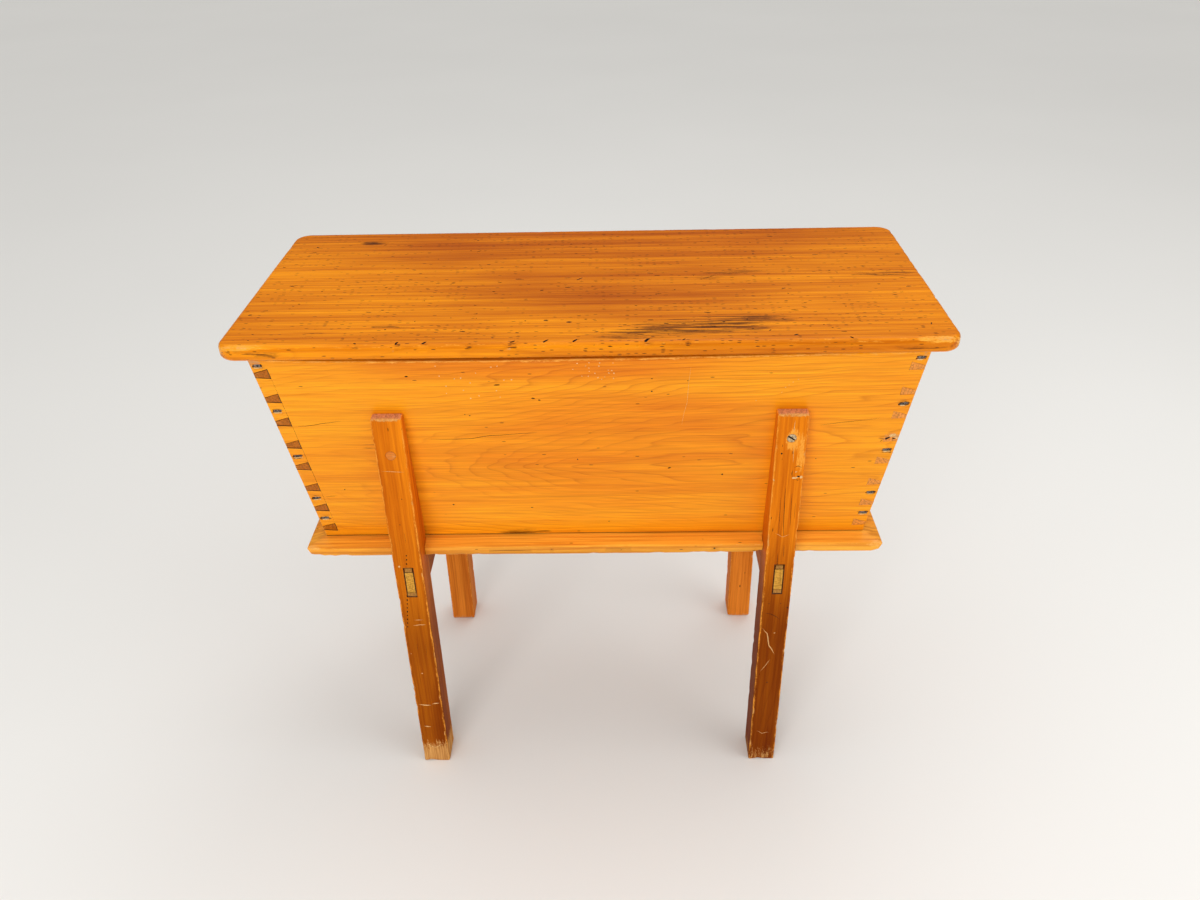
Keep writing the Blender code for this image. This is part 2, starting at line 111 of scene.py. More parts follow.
class Weave(Enum):
    """Noises in pine: cells a metre along and across the grain, octaves, and strength of the finer ones."""

    WANDER = (1.6, 9.0, 2.5, 0.5)
    CURL = (7.0, 42.0, 2.0, 0.5)
    FIBRE = (14.0, 520.0, 3.0, 0.6)
    STREAK = (2.4, 46.0, 3.0, 0.55)
    CLOUD = (4.0, 7.0, 2.0, 0.5)
    FADE = (1.5, 14.0, 1.0, 0.5)
    LINES = (3.0, 170.0, 2.0, 0.6)
    CROWDS = (7.0, 16.0, 1.0, 0.5)
    PORES = (200.0, 430.0, 2.0, 0.5)
    BREAKS = (60.0, 420.0, 3.0, 0.65)
    GRIT = (320.0, 800.0, 2.0, 0.5)
    RUNS = (11.0, 260.0, 3.0, 0.7)


class Layer(Enum):
    """Attributes that a wooden piece carries for its finish."""

    WEAR = "wear"
    SOIL = "soil"
    BARE = "bare"
    # Tone darkens the wood: on most pieces it is painted shade; on the legs it only makes them darker towards
    # the bottom.
    TONE = "tone"
    RAW = "raw"


class Inlay(Enum):
    """What the faces inside a cut show, as their material index."""

    # Dark fill of cuts: dirt and painted shade in the hollow.
    DARK = 1
    PALE = 2


DARK, PALE = Inlay
WEAR, SOIL, BARE, TONE, RAW = Layer


class Side(Enum):
    """The four sides of the box."""

    FRONT = -1
    BACK = 1
    LEFT = -2
    RIGHT = 2

    @property
    def sign(self) -> float:
        """The direction of the side along its own axis."""
        return math.copysign(1.0, self.value)

    @property
    def word(self) -> str:
        """The side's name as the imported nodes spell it."""
        return self.name.lower()

    @property
    def facing(self) -> Triple:
        """The turn that points a piece's own Z out of a long side."""
        return (math.pi / 2, 0.0, 0.0 if self is Side.FRONT else math.pi)

    def rolled(self, angle: float) -> Triple:
        """The same turn after a roll about that Z."""
        return tuple((Euler(self.facing).to_matrix() @ Matrix.Rotation(angle, 3, "Z")).to_euler())


LONG_SIDES = (Side.FRONT, Side.BACK)
END_SIDES = (Side.LEFT, Side.RIGHT)
CORNERS = tuple((side_x, side_y) for side_y in LONG_SIDES for side_x in END_SIDES)


def paint(code: str) -> tuple[float, ...]:
    """Turn a colour as seen on a screen into the linear one that a shader takes.

    Args:
        code: Six hexadecimal digits.

    Returns:
        The linear colour with a full alpha.
    """
    parts = [int(code[place:place + 2], 16) / 255 for place in (0, 2, 4)]
    linear = [part / 12.92 if part <= 0.04045 else ((part + 0.055) / 1.055) ** 2.4 for part in parts]
    return (*linear, 1.0)


class Graph:
    """A node tree under work, with short calls that add and join nodes."""

    # Sockets of a Mix node for colours.
    SHARE, FIRST, SECOND, MIXED = 0, 6, 7, 2

    def __init__(self, tree: bpy.types.NodeTree) -> None:
        """Keep the tree."""
        self.tree = tree

    def add(self, kind: str, inputs: dict | None = None, **settings: object) -> Node:
        """Add a node.

        Args:
            kind: The node's type.
            inputs: Sockets to link or values to set, by the name or number of the input.
            settings: Properties of the node, set before its inputs.

        Returns:
            The new node.
        """
        node = self.tree.nodes.new(kind)
        for name, value in settings.items():
            setattr(node, name, value)
        self.feed(node, inputs or {})
        return node

    def feed(self, node: Node, inputs: dict) -> None:
        """Feed a node.

        Args:
            node: The node.
            inputs: Sockets to link or values to set, by the name or number of the input.
        """
        for key, value in inputs.items():
            if isinstance(value, Socket):
                self.tree.links.new(value, node.inputs[key])
            else:
                node.inputs[key].default_value = value

    def math(self, operation: str, *values: Value) -> Socket:
        """The result of a Math node."""
        inputs = dict(enumerate((*values, 0.0, 0.0)[:3]))
        return self.add("ShaderNodeMath", inputs, operation=operation).outputs[0]

    def times(self, *values: Value) -> Socket:
        """The product of values."""
        return reduce(lambda found, value: self.math("MULTIPLY", found, value), values)

    def plus(self, *values: Value) -> Socket:
        """The sum of values."""
        return reduce(lambda found, value: self.math("ADD", found, value), values)

    def minus(self, first: Value, second: Value) -> Socket:
        """The difference of two values."""
        return self.math("SUBTRACT", first, second)

    def onto(self, base: Value, value: Value, share: Value) -> Socket:
        """A share of a value added onto a base."""
        return self.math("MULTIPLY_ADD", value, share, base)

    def vector(self, operation: str, first: Value, second: Value) -> Socket:
        """The result of a Vector Math node."""
        return self.add("ShaderNodeVectorMath", {0: first, 1: second}, operation=operation).outputs[0]

    def xyz(self, *values: Value) -> Socket:
        """A vector from its parts."""
        return self.add("ShaderNodeCombineXYZ", dict(enumerate(values))).outputs[0]

    def parts(self, value: Value) -> Sequence[Socket]:
        """The parts of a vector."""
        return self.add("ShaderNodeSeparateXYZ", {0: value}).outputs

    def span(self, value: Value, low: float, high: float, start: float = 0.0, end: float = 1.0) -> Socket:
        """A value taken smoothly from one span to another, held at both ends."""
        inputs = {"Value": value, "From Min": low, "From Max": high, "To Min": start, "To Max": end}
        return self.add("ShaderNodeMapRange", inputs, interpolation_type="SMOOTHSTEP").outputs["Result"]

    def noise(
        self, place: Value, cells: Triple, detail: float = 2.0, rough: float = 0.5, out: str = "Fac",
    ) -> Socket:
        """Make a noise.

        Args:
            place: Its coordinates.
            cells: Cells for each metre along each axis.
            detail: Octaves.
            rough: Strength of the finer octaves.
            out: Name of the output.

        Returns:
            The output's socket.
        """
        inputs = {
            "Vector": self.vector("MULTIPLY", place, cells), "Scale": 1.0,
            "Detail": detail, "Roughness": rough,
        }
        return self.add("ShaderNodeTexNoise", inputs).outputs[out]

    def mix(self, share: Value, first: Value, second: Value, blend: str = "MIX") -> Socket:
        """Mix two colours.

        Args:
            share: Share of the second colour.
            first: The first colour.
            second: The second colour.
            blend: How the second is laid on the first.

        Returns:
            The mixed colour's socket.
        """
        inputs = {self.SHARE: share, self.FIRST: first, self.SECOND: second}
        node = self.add("ShaderNodeMix", inputs, data_type="RGBA", blend_type=blend, clamp_factor=True)
        return node.outputs[self.MIXED]

    def ramp(self, value: Value, stops: Sequence[Spot]) -> Socket:
        """Shape a value by a curve of grey stops.

        Args:
            value: The value.
            stops: Places and levels, from 0 to 1.

        Returns:
            The shaped value's socket.
        """
        node = self.add("ShaderNodeValToRGB", {"Fac": value})
        elements = node.color_ramp.elements
        while len(elements) < len(stops):
            elements.new(0.5)
        for element, (place, level) in zip(elements, stops):
            element.position = place
            element.color = (level, level, level, 1.0)
        return self.add("ShaderNodeSeparateColor", {0: node.outputs["Color"]}).outputs[0]


class Surface(Graph):
    """The node tree of a new material."""

    def __init__(self, name: str) -> None:
        """Start the material.

        Args:
            name: Its name.
        """
        self.material = bpy.data.materials.new(name)
        self.material.use_nodes = True
        super().__init__(self.material.node_tree)

    def coordinates(self, kind: str = "Object") -> Socket:
        """One kind of the piece's own coordinates."""
        return self.add("ShaderNodeTexCoord").outputs[kind]

    def bump(self, height: Value, strength: float, depth: float) -> Socket:
        """A fine relief from a height."""
        inputs = {"Strength": strength, "Distance": depth, "Height": height}
        return self.add("ShaderNodeBump", inputs).outputs["Normal"]

    def close(self, inputs: dict[str, Value]) -> Material:
        """Feed the shader and give the material."""
        self.feed(self.tree.nodes["Principled BSDF"], inputs)
        return self.material


@dataclass(frozen=True)
class PlainFinish:
    """A finish of two tones broken up by a noise, for iron, steel and the faces inside cuts."""

    name: str
    light: str
    dark: str
    grain: float = 500.0
    rough: float = 0.6
    metal: float = 0.0
    relief: float = 0.3

    @cache
    def material(self) -> Material:
        """Build the material, once.

        Returns:
            A material with mottled colour, roughness and a fine relief.
        """
        graph = Surface(self.name)
        place = graph.coordinates()
        mottle = graph.noise(place, (self.grain,) * 3, 4.0, 0.65)
        fine = graph.noise(place, (self.grain * 4,) * 3)
        return graph.close({
            "Base Color": graph.mix(graph.span(mottle, 0.36, 0.66), paint(self.light), paint(self.dark)),
            "Roughness": graph.span(mottle, 0.3, 0.7, self.rough - 0.12, self.rough + 0.15),
            "Metallic": self.metal,
            "Normal": graph.bump(graph.onto(mottle, fine, 0.4), self.relief, 0.0004),
        })


@dataclass(frozen=True)
class PineFinish:
    """Old pine under a worn, glossy, honey-coloured finish.

    The figure is solid: rings round a pith that leans to the board, so faces show long grain and ends show
    arcs.
    """

    name: str
    spring: str
    summer: str
    blotch: str
    end: str
    worn: str
    bare: str = "d9a56c"
    raw: str = "c99a62"
    grey: str = "7d6246"
    soil: str = "421a06"
    fleck: str = "4c1e08"
    # Colour that the tone multiplies in, so mostly the colour of the painted shade.
    deep: str = "94828a"
    grain: Grain = Grain.ALONG_X
    pith: Spot = (0.25, 0.55)
    lean: Spot = (0.03, 0.02)
    ring: float = 0.0052
    wander: float = 0.075
    curl: float = 0.006
    contrast: float = 0.55
    blotches: float = 0.45
    flecks: float = 0.5
    threads: float = 0.8
    rough: float = 0.3
    coat: float = 0.06
    shine: float = 0.14
    relief: float = 0.22

    @cache
    def material(self) -> Material:
        """The material, built once, which reads the layers of a wooden piece."""
        return PineSurface(self).build()


class PineSurface(Surface):
    """The node tree of a pine finish."""

    RING_STOPS = ((0.0, 0.04), (0.55, 0.1), (0.82, 0.42), (0.93, 1.0), (1.0, 0.04))
    FLECK_CELLS = (95.0, 520.0, 520.0)
    # Powers by which a dark thread darkens red, green and blue, so that it turns redder.
    REDDER = (1.0, 1.7, 2.2)

    def __init__(self, look: PineFinish) -> None:
        """Start with the patterns that more than one part of the finish reads.

        Args:
            look: The finish.
        """
        super().__init__(look.name)
        self.look = look
        self.place = self.turned("Object")
        self.rings = self.year_rings()
        self.fibre, self.cloud, self.grit = (
            self.weave(kind) for kind in (Weave.FIBRE, Weave.CLOUD, Weave.GRIT)
        )
        self.mottled = self.blend(self.weave(Weave.STREAK), 0.6, self.cloud, 0.4)
        self.ragged = self.minus(self.blend(self.weave(Weave.BREAKS), 0.65, self.grit, 0.35), 0.5)

    def turned(self, kind: str) -> Socket:
        """Coordinates with the grain along X."""
        inputs = {"Vector": self.coordinates(kind), "Rotation": self.look.grain.value}
        return self.add("ShaderNodeMapping", inputs).outputs[0]

    def weave(self, kind: Weave, out: str = "Fac") -> Socket:
        """One of the noises in the wood."""
        along, across, detail, rough = kind.value
        return self.noise(self.place, (along, across, across), detail, rough, out)

    def blend(self, first: Value, share: float, second: Value, other: float) -> Socket:
        """A share of each of two values."""
        return self.plus(self.times(first, share), self.times(second, other))

    def layer(self, layer: Layer) -> Socket:
        """The value of one of the piece's own attributes."""
        return self.add("ShaderNodeAttribute", attribute_name=layer.value).outputs["Fac"]

    def year_rings(self) -> Socket:
        """Build the year rings.

        Returns:
            0 in spring wood to 1 in the dark line that ends a ring.
        """
        look, moved = self.look, self.place
        for kind, reach in ((Weave.WANDER, look.wander), (Weave.CURL, look.curl)):
            shift = self.vector("SUBTRACT", self.weave(kind, "Color"), NOISE_MIDDLE)
            moved = self.vector("ADD", moved, self.vector("MULTIPLY", shift, (0.0, reach, reach)))
        along, *across = self.parts(moved)
        across = [
            self.minus(self.onto(part, along, lean), middle)
            for part, lean, middle in zip(across, look.lean, look.pith)
        ]
        flat = {0: self.xyz(0.0, *across)}
        radius = self.add("ShaderNodeVectorMath", flat, operation="LENGTH").outputs["Value"]
        return self.ramp(self.math("FRACT", self.math("DIVIDE", radius, look.ring)), self.RING_STOPS)

    def dashes(self) -> Socket:
        """Build the short dark dashes along the grain.

        Returns:
            1 inside a dash and 0 outside.
        """
        spread = self.vector("MULTIPLY", self.place, self.FLECK_CELLS)
        cells = self.add("ShaderNodeTexVoronoi", {"Vector": spread, "Scale": 1.0}).outputs
        chosen = self.add("ShaderNodeSeparateColor", {0: cells["Color"]}).outputs[0]
        many = self.look.flecks
        limit = self.span(self.weave(Weave.CROWDS), 0.35, 0.7, 1.0 - 0.08 * many, 1.0 - 0.34 * many)
        return self.times(
            self.math("GREATER_THAN", chosen, limit), self.span(cells["Distance"], 0.18, 0.34, 1.0, 0.0),
        )

    def sound_wood(self) -> Socket:
        """Colour the wood before use has marked it.

        Returns:
            The colour of long grain and of end grain.
        """
        look = self.look
        fade = self.span(self.weave(Weave.FADE), 0.3, 0.7, 0.35, 1.0)
        colour = self.mix(self.times(self.rings, fade, look.contrast), paint(look.spring), paint(look.summer))
        mottle = self.times(self.span(self.mottled, 0.38, 0.66), look.blotches)
        colour = self.mix(mottle, colour, paint(look.blotch))
        lines = self.span(self.weave(Weave.LINES), 0.32, 0.62, look.threads, 1.06)
        thread = self.times(self.span(self.fibre, 0.3, 0.7, 0.9, 1.05), lines)
        tone = self.xyz(*(self.math("POWER", thread, power) for power in self.REDDER))
        colour = self.mix(1.0, colour, tone, "MULTIPLY")
        colour = self.mix(self.dashes(), colour, paint(look.fleck))
        ends = self.span(self.math("ABSOLUTE", self.parts(self.turned("Normal"))[0]), 0.62, 0.9)
        arcs = self.blend(self.rings, 0.45, self.span(self.weave(Weave.PORES), 0.34, 0.66), 0.55)
        return self.mix(ends, colour, self.mix(self.times(arcs, 0.6), paint(look.end), paint(look.soil)))

    def stains(self) -> Socket:
        """Stain the wood in runs along the grain.

        Returns:
            How far the soil layer has blackened it.
        """
        soil = self.layer(SOIL)
        runs = self.minus(self.weave(Weave.RUNS), 0.5)
        stained = self.onto(self.onto(self.ragged, soil, 0.75), runs, 3.4)
        return self.times(self.span(stained, 0.2, 0.9), self.span(soil, 0.02, 0.25))

    def flakes(self) -> Socket:
        """Flake the finish off where the wood is bare.

        Returns:
            How far it has gone.
        """
        bare = self.layer(BARE)
        return self.times(
            self.span(self.onto(bare, self.ragged, 2.0), 0.35, 0.75), self.span(bare, 0.02, 0.2),
        )

    def build(self) -> Material:
        """Lay age over the sound wood and close the tree.

        Returns:
            The material.
        """
        look = self.look
        raw, stained, flaked = self.layer(RAW), self.stains(), self.flakes()
        wood = self.mix(self.times(self.rings, 0.45), paint(look.raw), paint(look.summer))
        wood = self.mix(self.span(self.mottled, 0.45, 0.75, 0.0, 0.45), wood, paint(look.grey))
        colour = self.mix(self.times(raw, 0.85), self.sound_wood(), wood)
        # Tone: random mottling plus the tone layer, which mostly paints shade.
        tone = self.onto(self.layer(TONE), self.minus(self.mottled, 0.5), 0.5)
        colour = self.mix(
            self.span(tone, 0.0, 1.0), colour, self.mix(1.0, colour, paint(look.deep), "MULTIPLY"),
        )
        wear = self.onto(self.layer(WEAR), self.ragged, 1.9)
        colour = self.mix(self.span(wear, 0.4, 0.8), colour, paint(look.worn))
        colour = self.mix(self.times(stained, 0.86), colour, paint(look.soil))
        bare = self.mix(self.span(self.fibre, 0.35, 0.65, 0.0, 0.6), paint(look.bare), paint(look.summer))
        dull = self.plus(
            self.blend(flaked, 0.3, raw, 0.3), self.times(stained, 0.12), self.times(self.cloud, 0.16),
        )
        height = self.onto(self.onto(self.times(self.rings, 0.25), self.fibre, 0.5), self.grit, 0.5)
        return self.close({
            "Base Color": self.mix(self.times(flaked, 0.85), colour, bare),
            "Roughness": self.plus(self.onto(dull, self.fibre, 0.1), look.rough - 0.12),
            "Specular IOR Level": look.shine, "Coat Weight": look.coat, "Coat Roughness": 0.3,
            "Normal": self.bump(self.onto(height, self.cloud, 1.2), look.relief, 0.0012),
        })


Finish = Union[PineFinish, PlainFinish]
# Dark fill of cracks, holes, joint lines and screw slots: dirt and painted shade in the hollow.
GAP = PlainFinish("dark_gap", "2a1307", "120803", 400.0, 0.8)
# Pale fill of chips, scratches and drips; below the nails it also paints a highlight.
CHIP = PlainFinish("pale_chip", "f0c98c", "d09a55", 600.0, 0.6)
IRON = PlainFinish("nail_iron", "8a7e76", "120c09", 420.0, 0.4, 0.6)
STEEL = PlainFinish("screw_steel", "d8c09a", "8f7656", 500.0, 0.38, 0.7, 0.2)
WEDGE_PINE = PineFinish(
    "wedge_pine", "c88a3c", "8a531c", "a8692a", "b98038", "dcae66", grain=Grain.ALONG_Y,
    pith=(0.2, 0.3), ring=0.0018, rough=0.5, coat=0.0,
)
PLUG_PINE = PineFinish(
    "plug_wood", "dc7c26", "9a4c14", "c0661c", "c06a24", "ee9a3c", pith=(0.1, 0.5), ring=0.0016, rough=0.36,
)


class Lattice:
    """Smooth random values on a lattice that repeats, the same on each run."""

    CELLS = 32
    SHIFT = 7.31

    def __init__(self, seed: int) -> None:
        """Fill the lattice from a seed."""
        self.table = np.random.default_rng(seed).uniform(-1.0, 1.0, (self.CELLS,) * 3)

    def at(self, points: Array, size: float | Triple) -> Array:
        """Read the lattice.

        Args:
            points: Points in metres, one to a row.
            size: Size of a cell, or its size along each axis.

        Returns:
            A value from -1 to 1 for each point.
        """
        scaled = points / np.asarray(size) + self.SHIFT
        corner = np.floor(scaled).astype(int)
        part = scaled - corner
        part = part * part * (3 - 2 * part)
        total = np.zeros(len(points))
        for step in np.ndindex(2, 2, 2):
            near = np.array(step)
            share = np.prod(np.where(near == 1, part, 1 - part), axis=1)
            total += share * self.table[tuple(((corner + near) % self.CELLS).T)]
        return total


@dataclass(frozen=True)
class Arris:
    """A straight edge of a piece that use has rounded."""

    start: Vector
    end: Vector
    radius: float
    wear: float

    def distance(self, points: Array) -> Array:
        """Measure how far points lie from the edge.

        Args:
            points: Points in metres, one to a row.

        Returns:
            A distance for each point.
        """
        start = np.array(self.start)
        along = np.array(self.end) - start
        share = np.clip((points - start) @ along / max(along @ along, 1e-12), 0.0, 1.0)
        return np.linalg.norm(points - start - share[:, None] * along, axis=1)


def polyline(points: Sequence[Vector], radius: float, wear: float = 0.0) -> list[Arris]:
    """Arrises of one radius and wear along a line of points."""
    return [Arris(here, there, radius, wear) for here, there in zip(points, points[1:])]


def straight(middle: Triple, reach: Triple) -> list[Vector]:
    """The two ends of a line, from its middle and its reach to each side."""
    return [Vector([here + sign * far for here, far in zip(middle, reach)]) for sign in BOTH]


def square(middle: Triple, right: Triple, rise: Triple) -> list[Vector]:
    """The corners of a rectangle, gone round once, from its middle and half of two sides."""
    return [Vector([m + x * r + z * u for m, r, u in zip(middle, right, rise)]) for x, z in ROUND]


@dataclass(frozen=True)
class Face:
    """A flat face that marks are laid out on: an origin and two directions in it."""

    origin: Vector
    right: Vector
    rise: Vector

    @property
    def out(self) -> Vector:
        """The way out of the face."""
        return self.right.cross(self.rise).normalized()

    def at(self, right: float, rise: float, out: float = 0.0) -> Vector:
        """A point from millimetres to the right, up and out of the face."""
        return self.origin + self.right * (right * MM) + self.rise * (rise * MM) + self.out * (out * MM)


LIFT = 0.3  # How far cutters stand out of a face.


@dataclass(frozen=True)
class Groove:
    """A crack, scratch or scribed line: a V cut along a line that wanders a little."""

    line: Sequence[Spot]
    width: float = 0.7
    depth: float = 0.9
    inlay: Inlay = DARK
    wander: float = 0.25
    step: float = 7.0

    def loops(self, face: Face, random: np.random.Generator) -> list[list[Vector]]:
        """Lay out the cutter.

        Args:
            face: The face that is cut.
            random: Source of the wander.

        Returns:
            Triangles along the line, which shrink towards both ends.
        """
        knots = [np.array(knot, float) for knot in self.line]
        spots = [knots[0]]
        for here, there in zip(knots, knots[1:]):
            count = max(1, round(float(np.linalg.norm(there - here)) / self.step))
            for number in range(1, count + 1):
                jitter = random.uniform(-self.wander, self.wander, 2)
                spots.append(here + (there - here) * number / count + jitter)
        loops = []
        last = len(spots) - 1
        for number, spot in enumerate(spots):
            along = face.at(*spots[min(number + 1, last)]) - face.at(*spots[max(number - 1, 0)])
            across = face.out.cross(along.normalized())
            taper = 0.2 + 0.8 * math.sin(math.pi * number / last) ** 0.5 if 0 < number < last else 0.15
            half = self.width / 2 * taper * (1 + LIFT / self.depth) * MM
            top = face.at(*spot, LIFT)
            loops.append([top + across * half, top - across * half, face.at(*spot, -self.depth * taper)])
        return loops


@dataclass(frozen=True)
class Pit:
    """A nail hole, nick, worm hole or chip: a small ragged hollow."""

    at: Spot
    long: float = 2.0
    short: float = 1.4
    turn: float = 0.0
    depth: float = 1.2
    inlay: Inlay = DARK
    sides: int = 9

    def loops(self, face: Face, random: np.random.Generator) -> list[list[Vector]]:
        """Lay out the cutter.

        Args:
            face: The face that is cut.
            random: Source of the ragged outline.

        Returns:
            Rings from above the face down to the root of the hollow.
        """
        cosine, sine = math.cos(math.radians(self.turn)), math.sin(math.radians(self.turn))
        ragged = random.uniform(0.8, 1.15, self.sides)
        rings = []
        for level, size in ((LIFT, 1.15), (0.0, 1.0), (-0.6 * self.depth, 0.62), (-self.depth, 0.12)):
            ring = []
            for number in range(self.sides):
                angle = 2 * math.pi * number / self.sides
                right = self.long / 2 * math.cos(angle) * ragged[number] * size
                rise = self.short / 2 * math.sin(angle) * ragged[number] * size
                x, y = right * cosine - rise * sine, right * sine + rise * cosine
                ring.append(face.at(self.at[0] + x, self.at[1] + y, level))
            rings.append(ring)
        return rings


Mark = Union[Groove, Pit]


def pits(rows: Iterable[Sequence[float]], depth: float, inlay: Inlay = DARK) -> list[Pit]:
    """Pits of one depth, each from its two places, length, width and turn."""
    return [Pit((right, rise), long, short, turn, depth, inlay) for right, rise, long, short, turn in rows]


def scatter(seed: int, count: int, low: Spot, high: Spot, apart: float, lean: float = 1.0) -> list[Spot]:
    """Scatter spots over a rectangle of a face.

    Args:
        seed: Seed of the scatter.
        count: Number of spots wanted.
        low: Lowest corner of the rectangle.
        high: Highest corner.
        apart: Least distance between two spots.
        lean: Above 1, the spots crowd towards the lower edge.

    Returns:
        The spots that found room.
    """
    spots: list[Spot] = []
    for right, rise in np.random.default_rng(seed).random((count * 3, 2)):
        spot = (float(low[0] + (high[0] - low[0]) * right), float(low[1] + (high[1] - low[1]) * rise ** lean))
        if len(spots) < count and all(math.dist(spot, other) > apart for other in spots):
            spots.append(spot)
    return spots


@dataclass(frozen=True)
class Dent:
    """A knock that has pushed the wood in."""

    at: Triple
    radius: float
    push: Triple

    def move(self, points: Array) -> Array:
        """The way each of some points moves, in metres."""
        far = np.linalg.norm(points - np.array(self.at) * MM, axis=1) / (self.radius * MM)
        return (np.clip(1 - far * far, 0.0, 1.0) ** 2)[:, None] * np.array(self.push) * MM


@dataclass(frozen=True)
class Patch:
    """A spot of wear, soil, bare wood or darker tone that fades towards its edge; tone spots mostly paint
    shade.
    """

    layer: Layer
    at: Triple
    size: Triple
    strength: float

    def amount(self, points: Array) -> Array:
        """From 0 outside to the strength in the middle, for each point."""
        far = np.linalg.norm((points - np.array(self.at) * MM) / (np.array(self.size) * MM), axis=1)
        return self.strength * np.clip(1.25 - 1.25 * far * far, 0.0, 1.0)


def fill_loops(work: Solid, loops: Sequence[Sequence[Vector]], index: int = 0) -> None:
    """Add a closed solid through loops of as many points each, with a cap at both ends.

    Args:
        work: The mesh that receives the solid.
        loops: The loops, in order.
        index: Material index of its faces.
    """
    rings = [[work.verts.new(point) for point in loop] for loop in loops]
    faces = [work.faces.new(rings[0]), work.faces.new(rings[-1])]
    for lower, upper in zip(rings, rings[1:]):
        for here in range(len(lower)):
            there = (here + 1) % len(lower)
            faces.append(work.faces.new((lower[here], lower[there], upper[there], upper[here])))
    for face in faces:
        face.material_index = index


def merged_copy(node: str) -> Solid:
    """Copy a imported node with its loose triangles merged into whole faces.

    Args:
        node: The node's name.

    Returns:
        A closed mesh.
    """
    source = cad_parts[node].data
    work = bmesh.new()
    corners = [work.verts.new(vertex.co) for vertex in source.vertices]
    for polygon in source.polygons:
        work.faces.new([corners[index] for index in polygon.vertices])
    bmesh.ops.remove_doubles(work, verts=work.verts, dist=WELD)
    bmesh.ops.dissolve_limit(work, angle_limit=FLAT, verts=work.verts, edges=work.edges)
    return work


@contextmanager
def opened(data: bpy.types.Mesh) -> Iterator[Solid]:
    """Open a mesh for work, and write it back afterwards.

    Args:
        data: The mesh.

    Yields:
        The mesh under work.
    """
    work = bmesh.new()
    work.from_mesh(data)
    yield work
    work.to_mesh(data)
    work.free()


def as_object(name: str, work: Solid, materials: Iterable[Material]) -> Thing:
    """Turn a mesh under work into an object of the scene.

    Args:
        name: The object's name.
        work: The mesh, which is freed.
        materials: Its materials, in the order of their indices.

    Returns:
        The object, at the origin.
    """
    data = bpy.data.meshes.new(name)
    work.to_mesh(data)
    work.free()
    for material in materials:
        data.materials.append(material)
    made = bpy.data.objects.new(name, data)
    bpy.context.scene.collection.objects.link(made)
    return made


def settle(made: Thing) -> None:
    """Make an object's evaluated mesh its own, and drop its modifiers.

    Args:
        made: The object.
    """
    graph = bpy.context.evaluated_depsgraph_get()
    data = bpy.data.meshes.new_from_object(made.evaluated_get(graph))
    made.modifiers.clear()
    old, made.data = made.data, data
    bpy.data.meshes.remove(old)
    data.name = made.name


def shade(data: bpy.types.Mesh, degrees: float = 34.0) -> None:
    """Shade smoothly across shallow edges only."""
    data.shade_smooth()
    data.set_sharp_from_angle(angle=math.radians(degrees))


def read(items: Sequence, name: str) -> Array:
    """Read a vector of each vertex or face of a mesh.

    Args:
        items: The vertices or faces.
        name: The vector's name.

    Returns:
        One vector to a row.
    """
    found = np.empty(len(items) * 3, np.float32)
    items.foreach_get(name, found)
    return found.reshape(-1, 3)


def keep(data: bpy.types.Mesh, layer: Layer, values: Array, domain: str = "POINT") -> None:
    """Keep values as an attribute of a mesh."""
    data.attributes.new(layer.value, "FLOAT", domain).data.foreach_set("value", values.astype(np.float32))


def mount(made: Thing, body: Body, nodes: Iterable[str]) -> None:
    """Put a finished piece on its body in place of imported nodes.

    Args:
        made: The piece.
        body: The body it moves with.
        nodes: The nodes that it stands for.
    """
    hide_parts(*nodes)
    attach(made, body.value)
    LOG.info("%s: %d faces on %s", made.name, len(made.data.polygons), body.value)


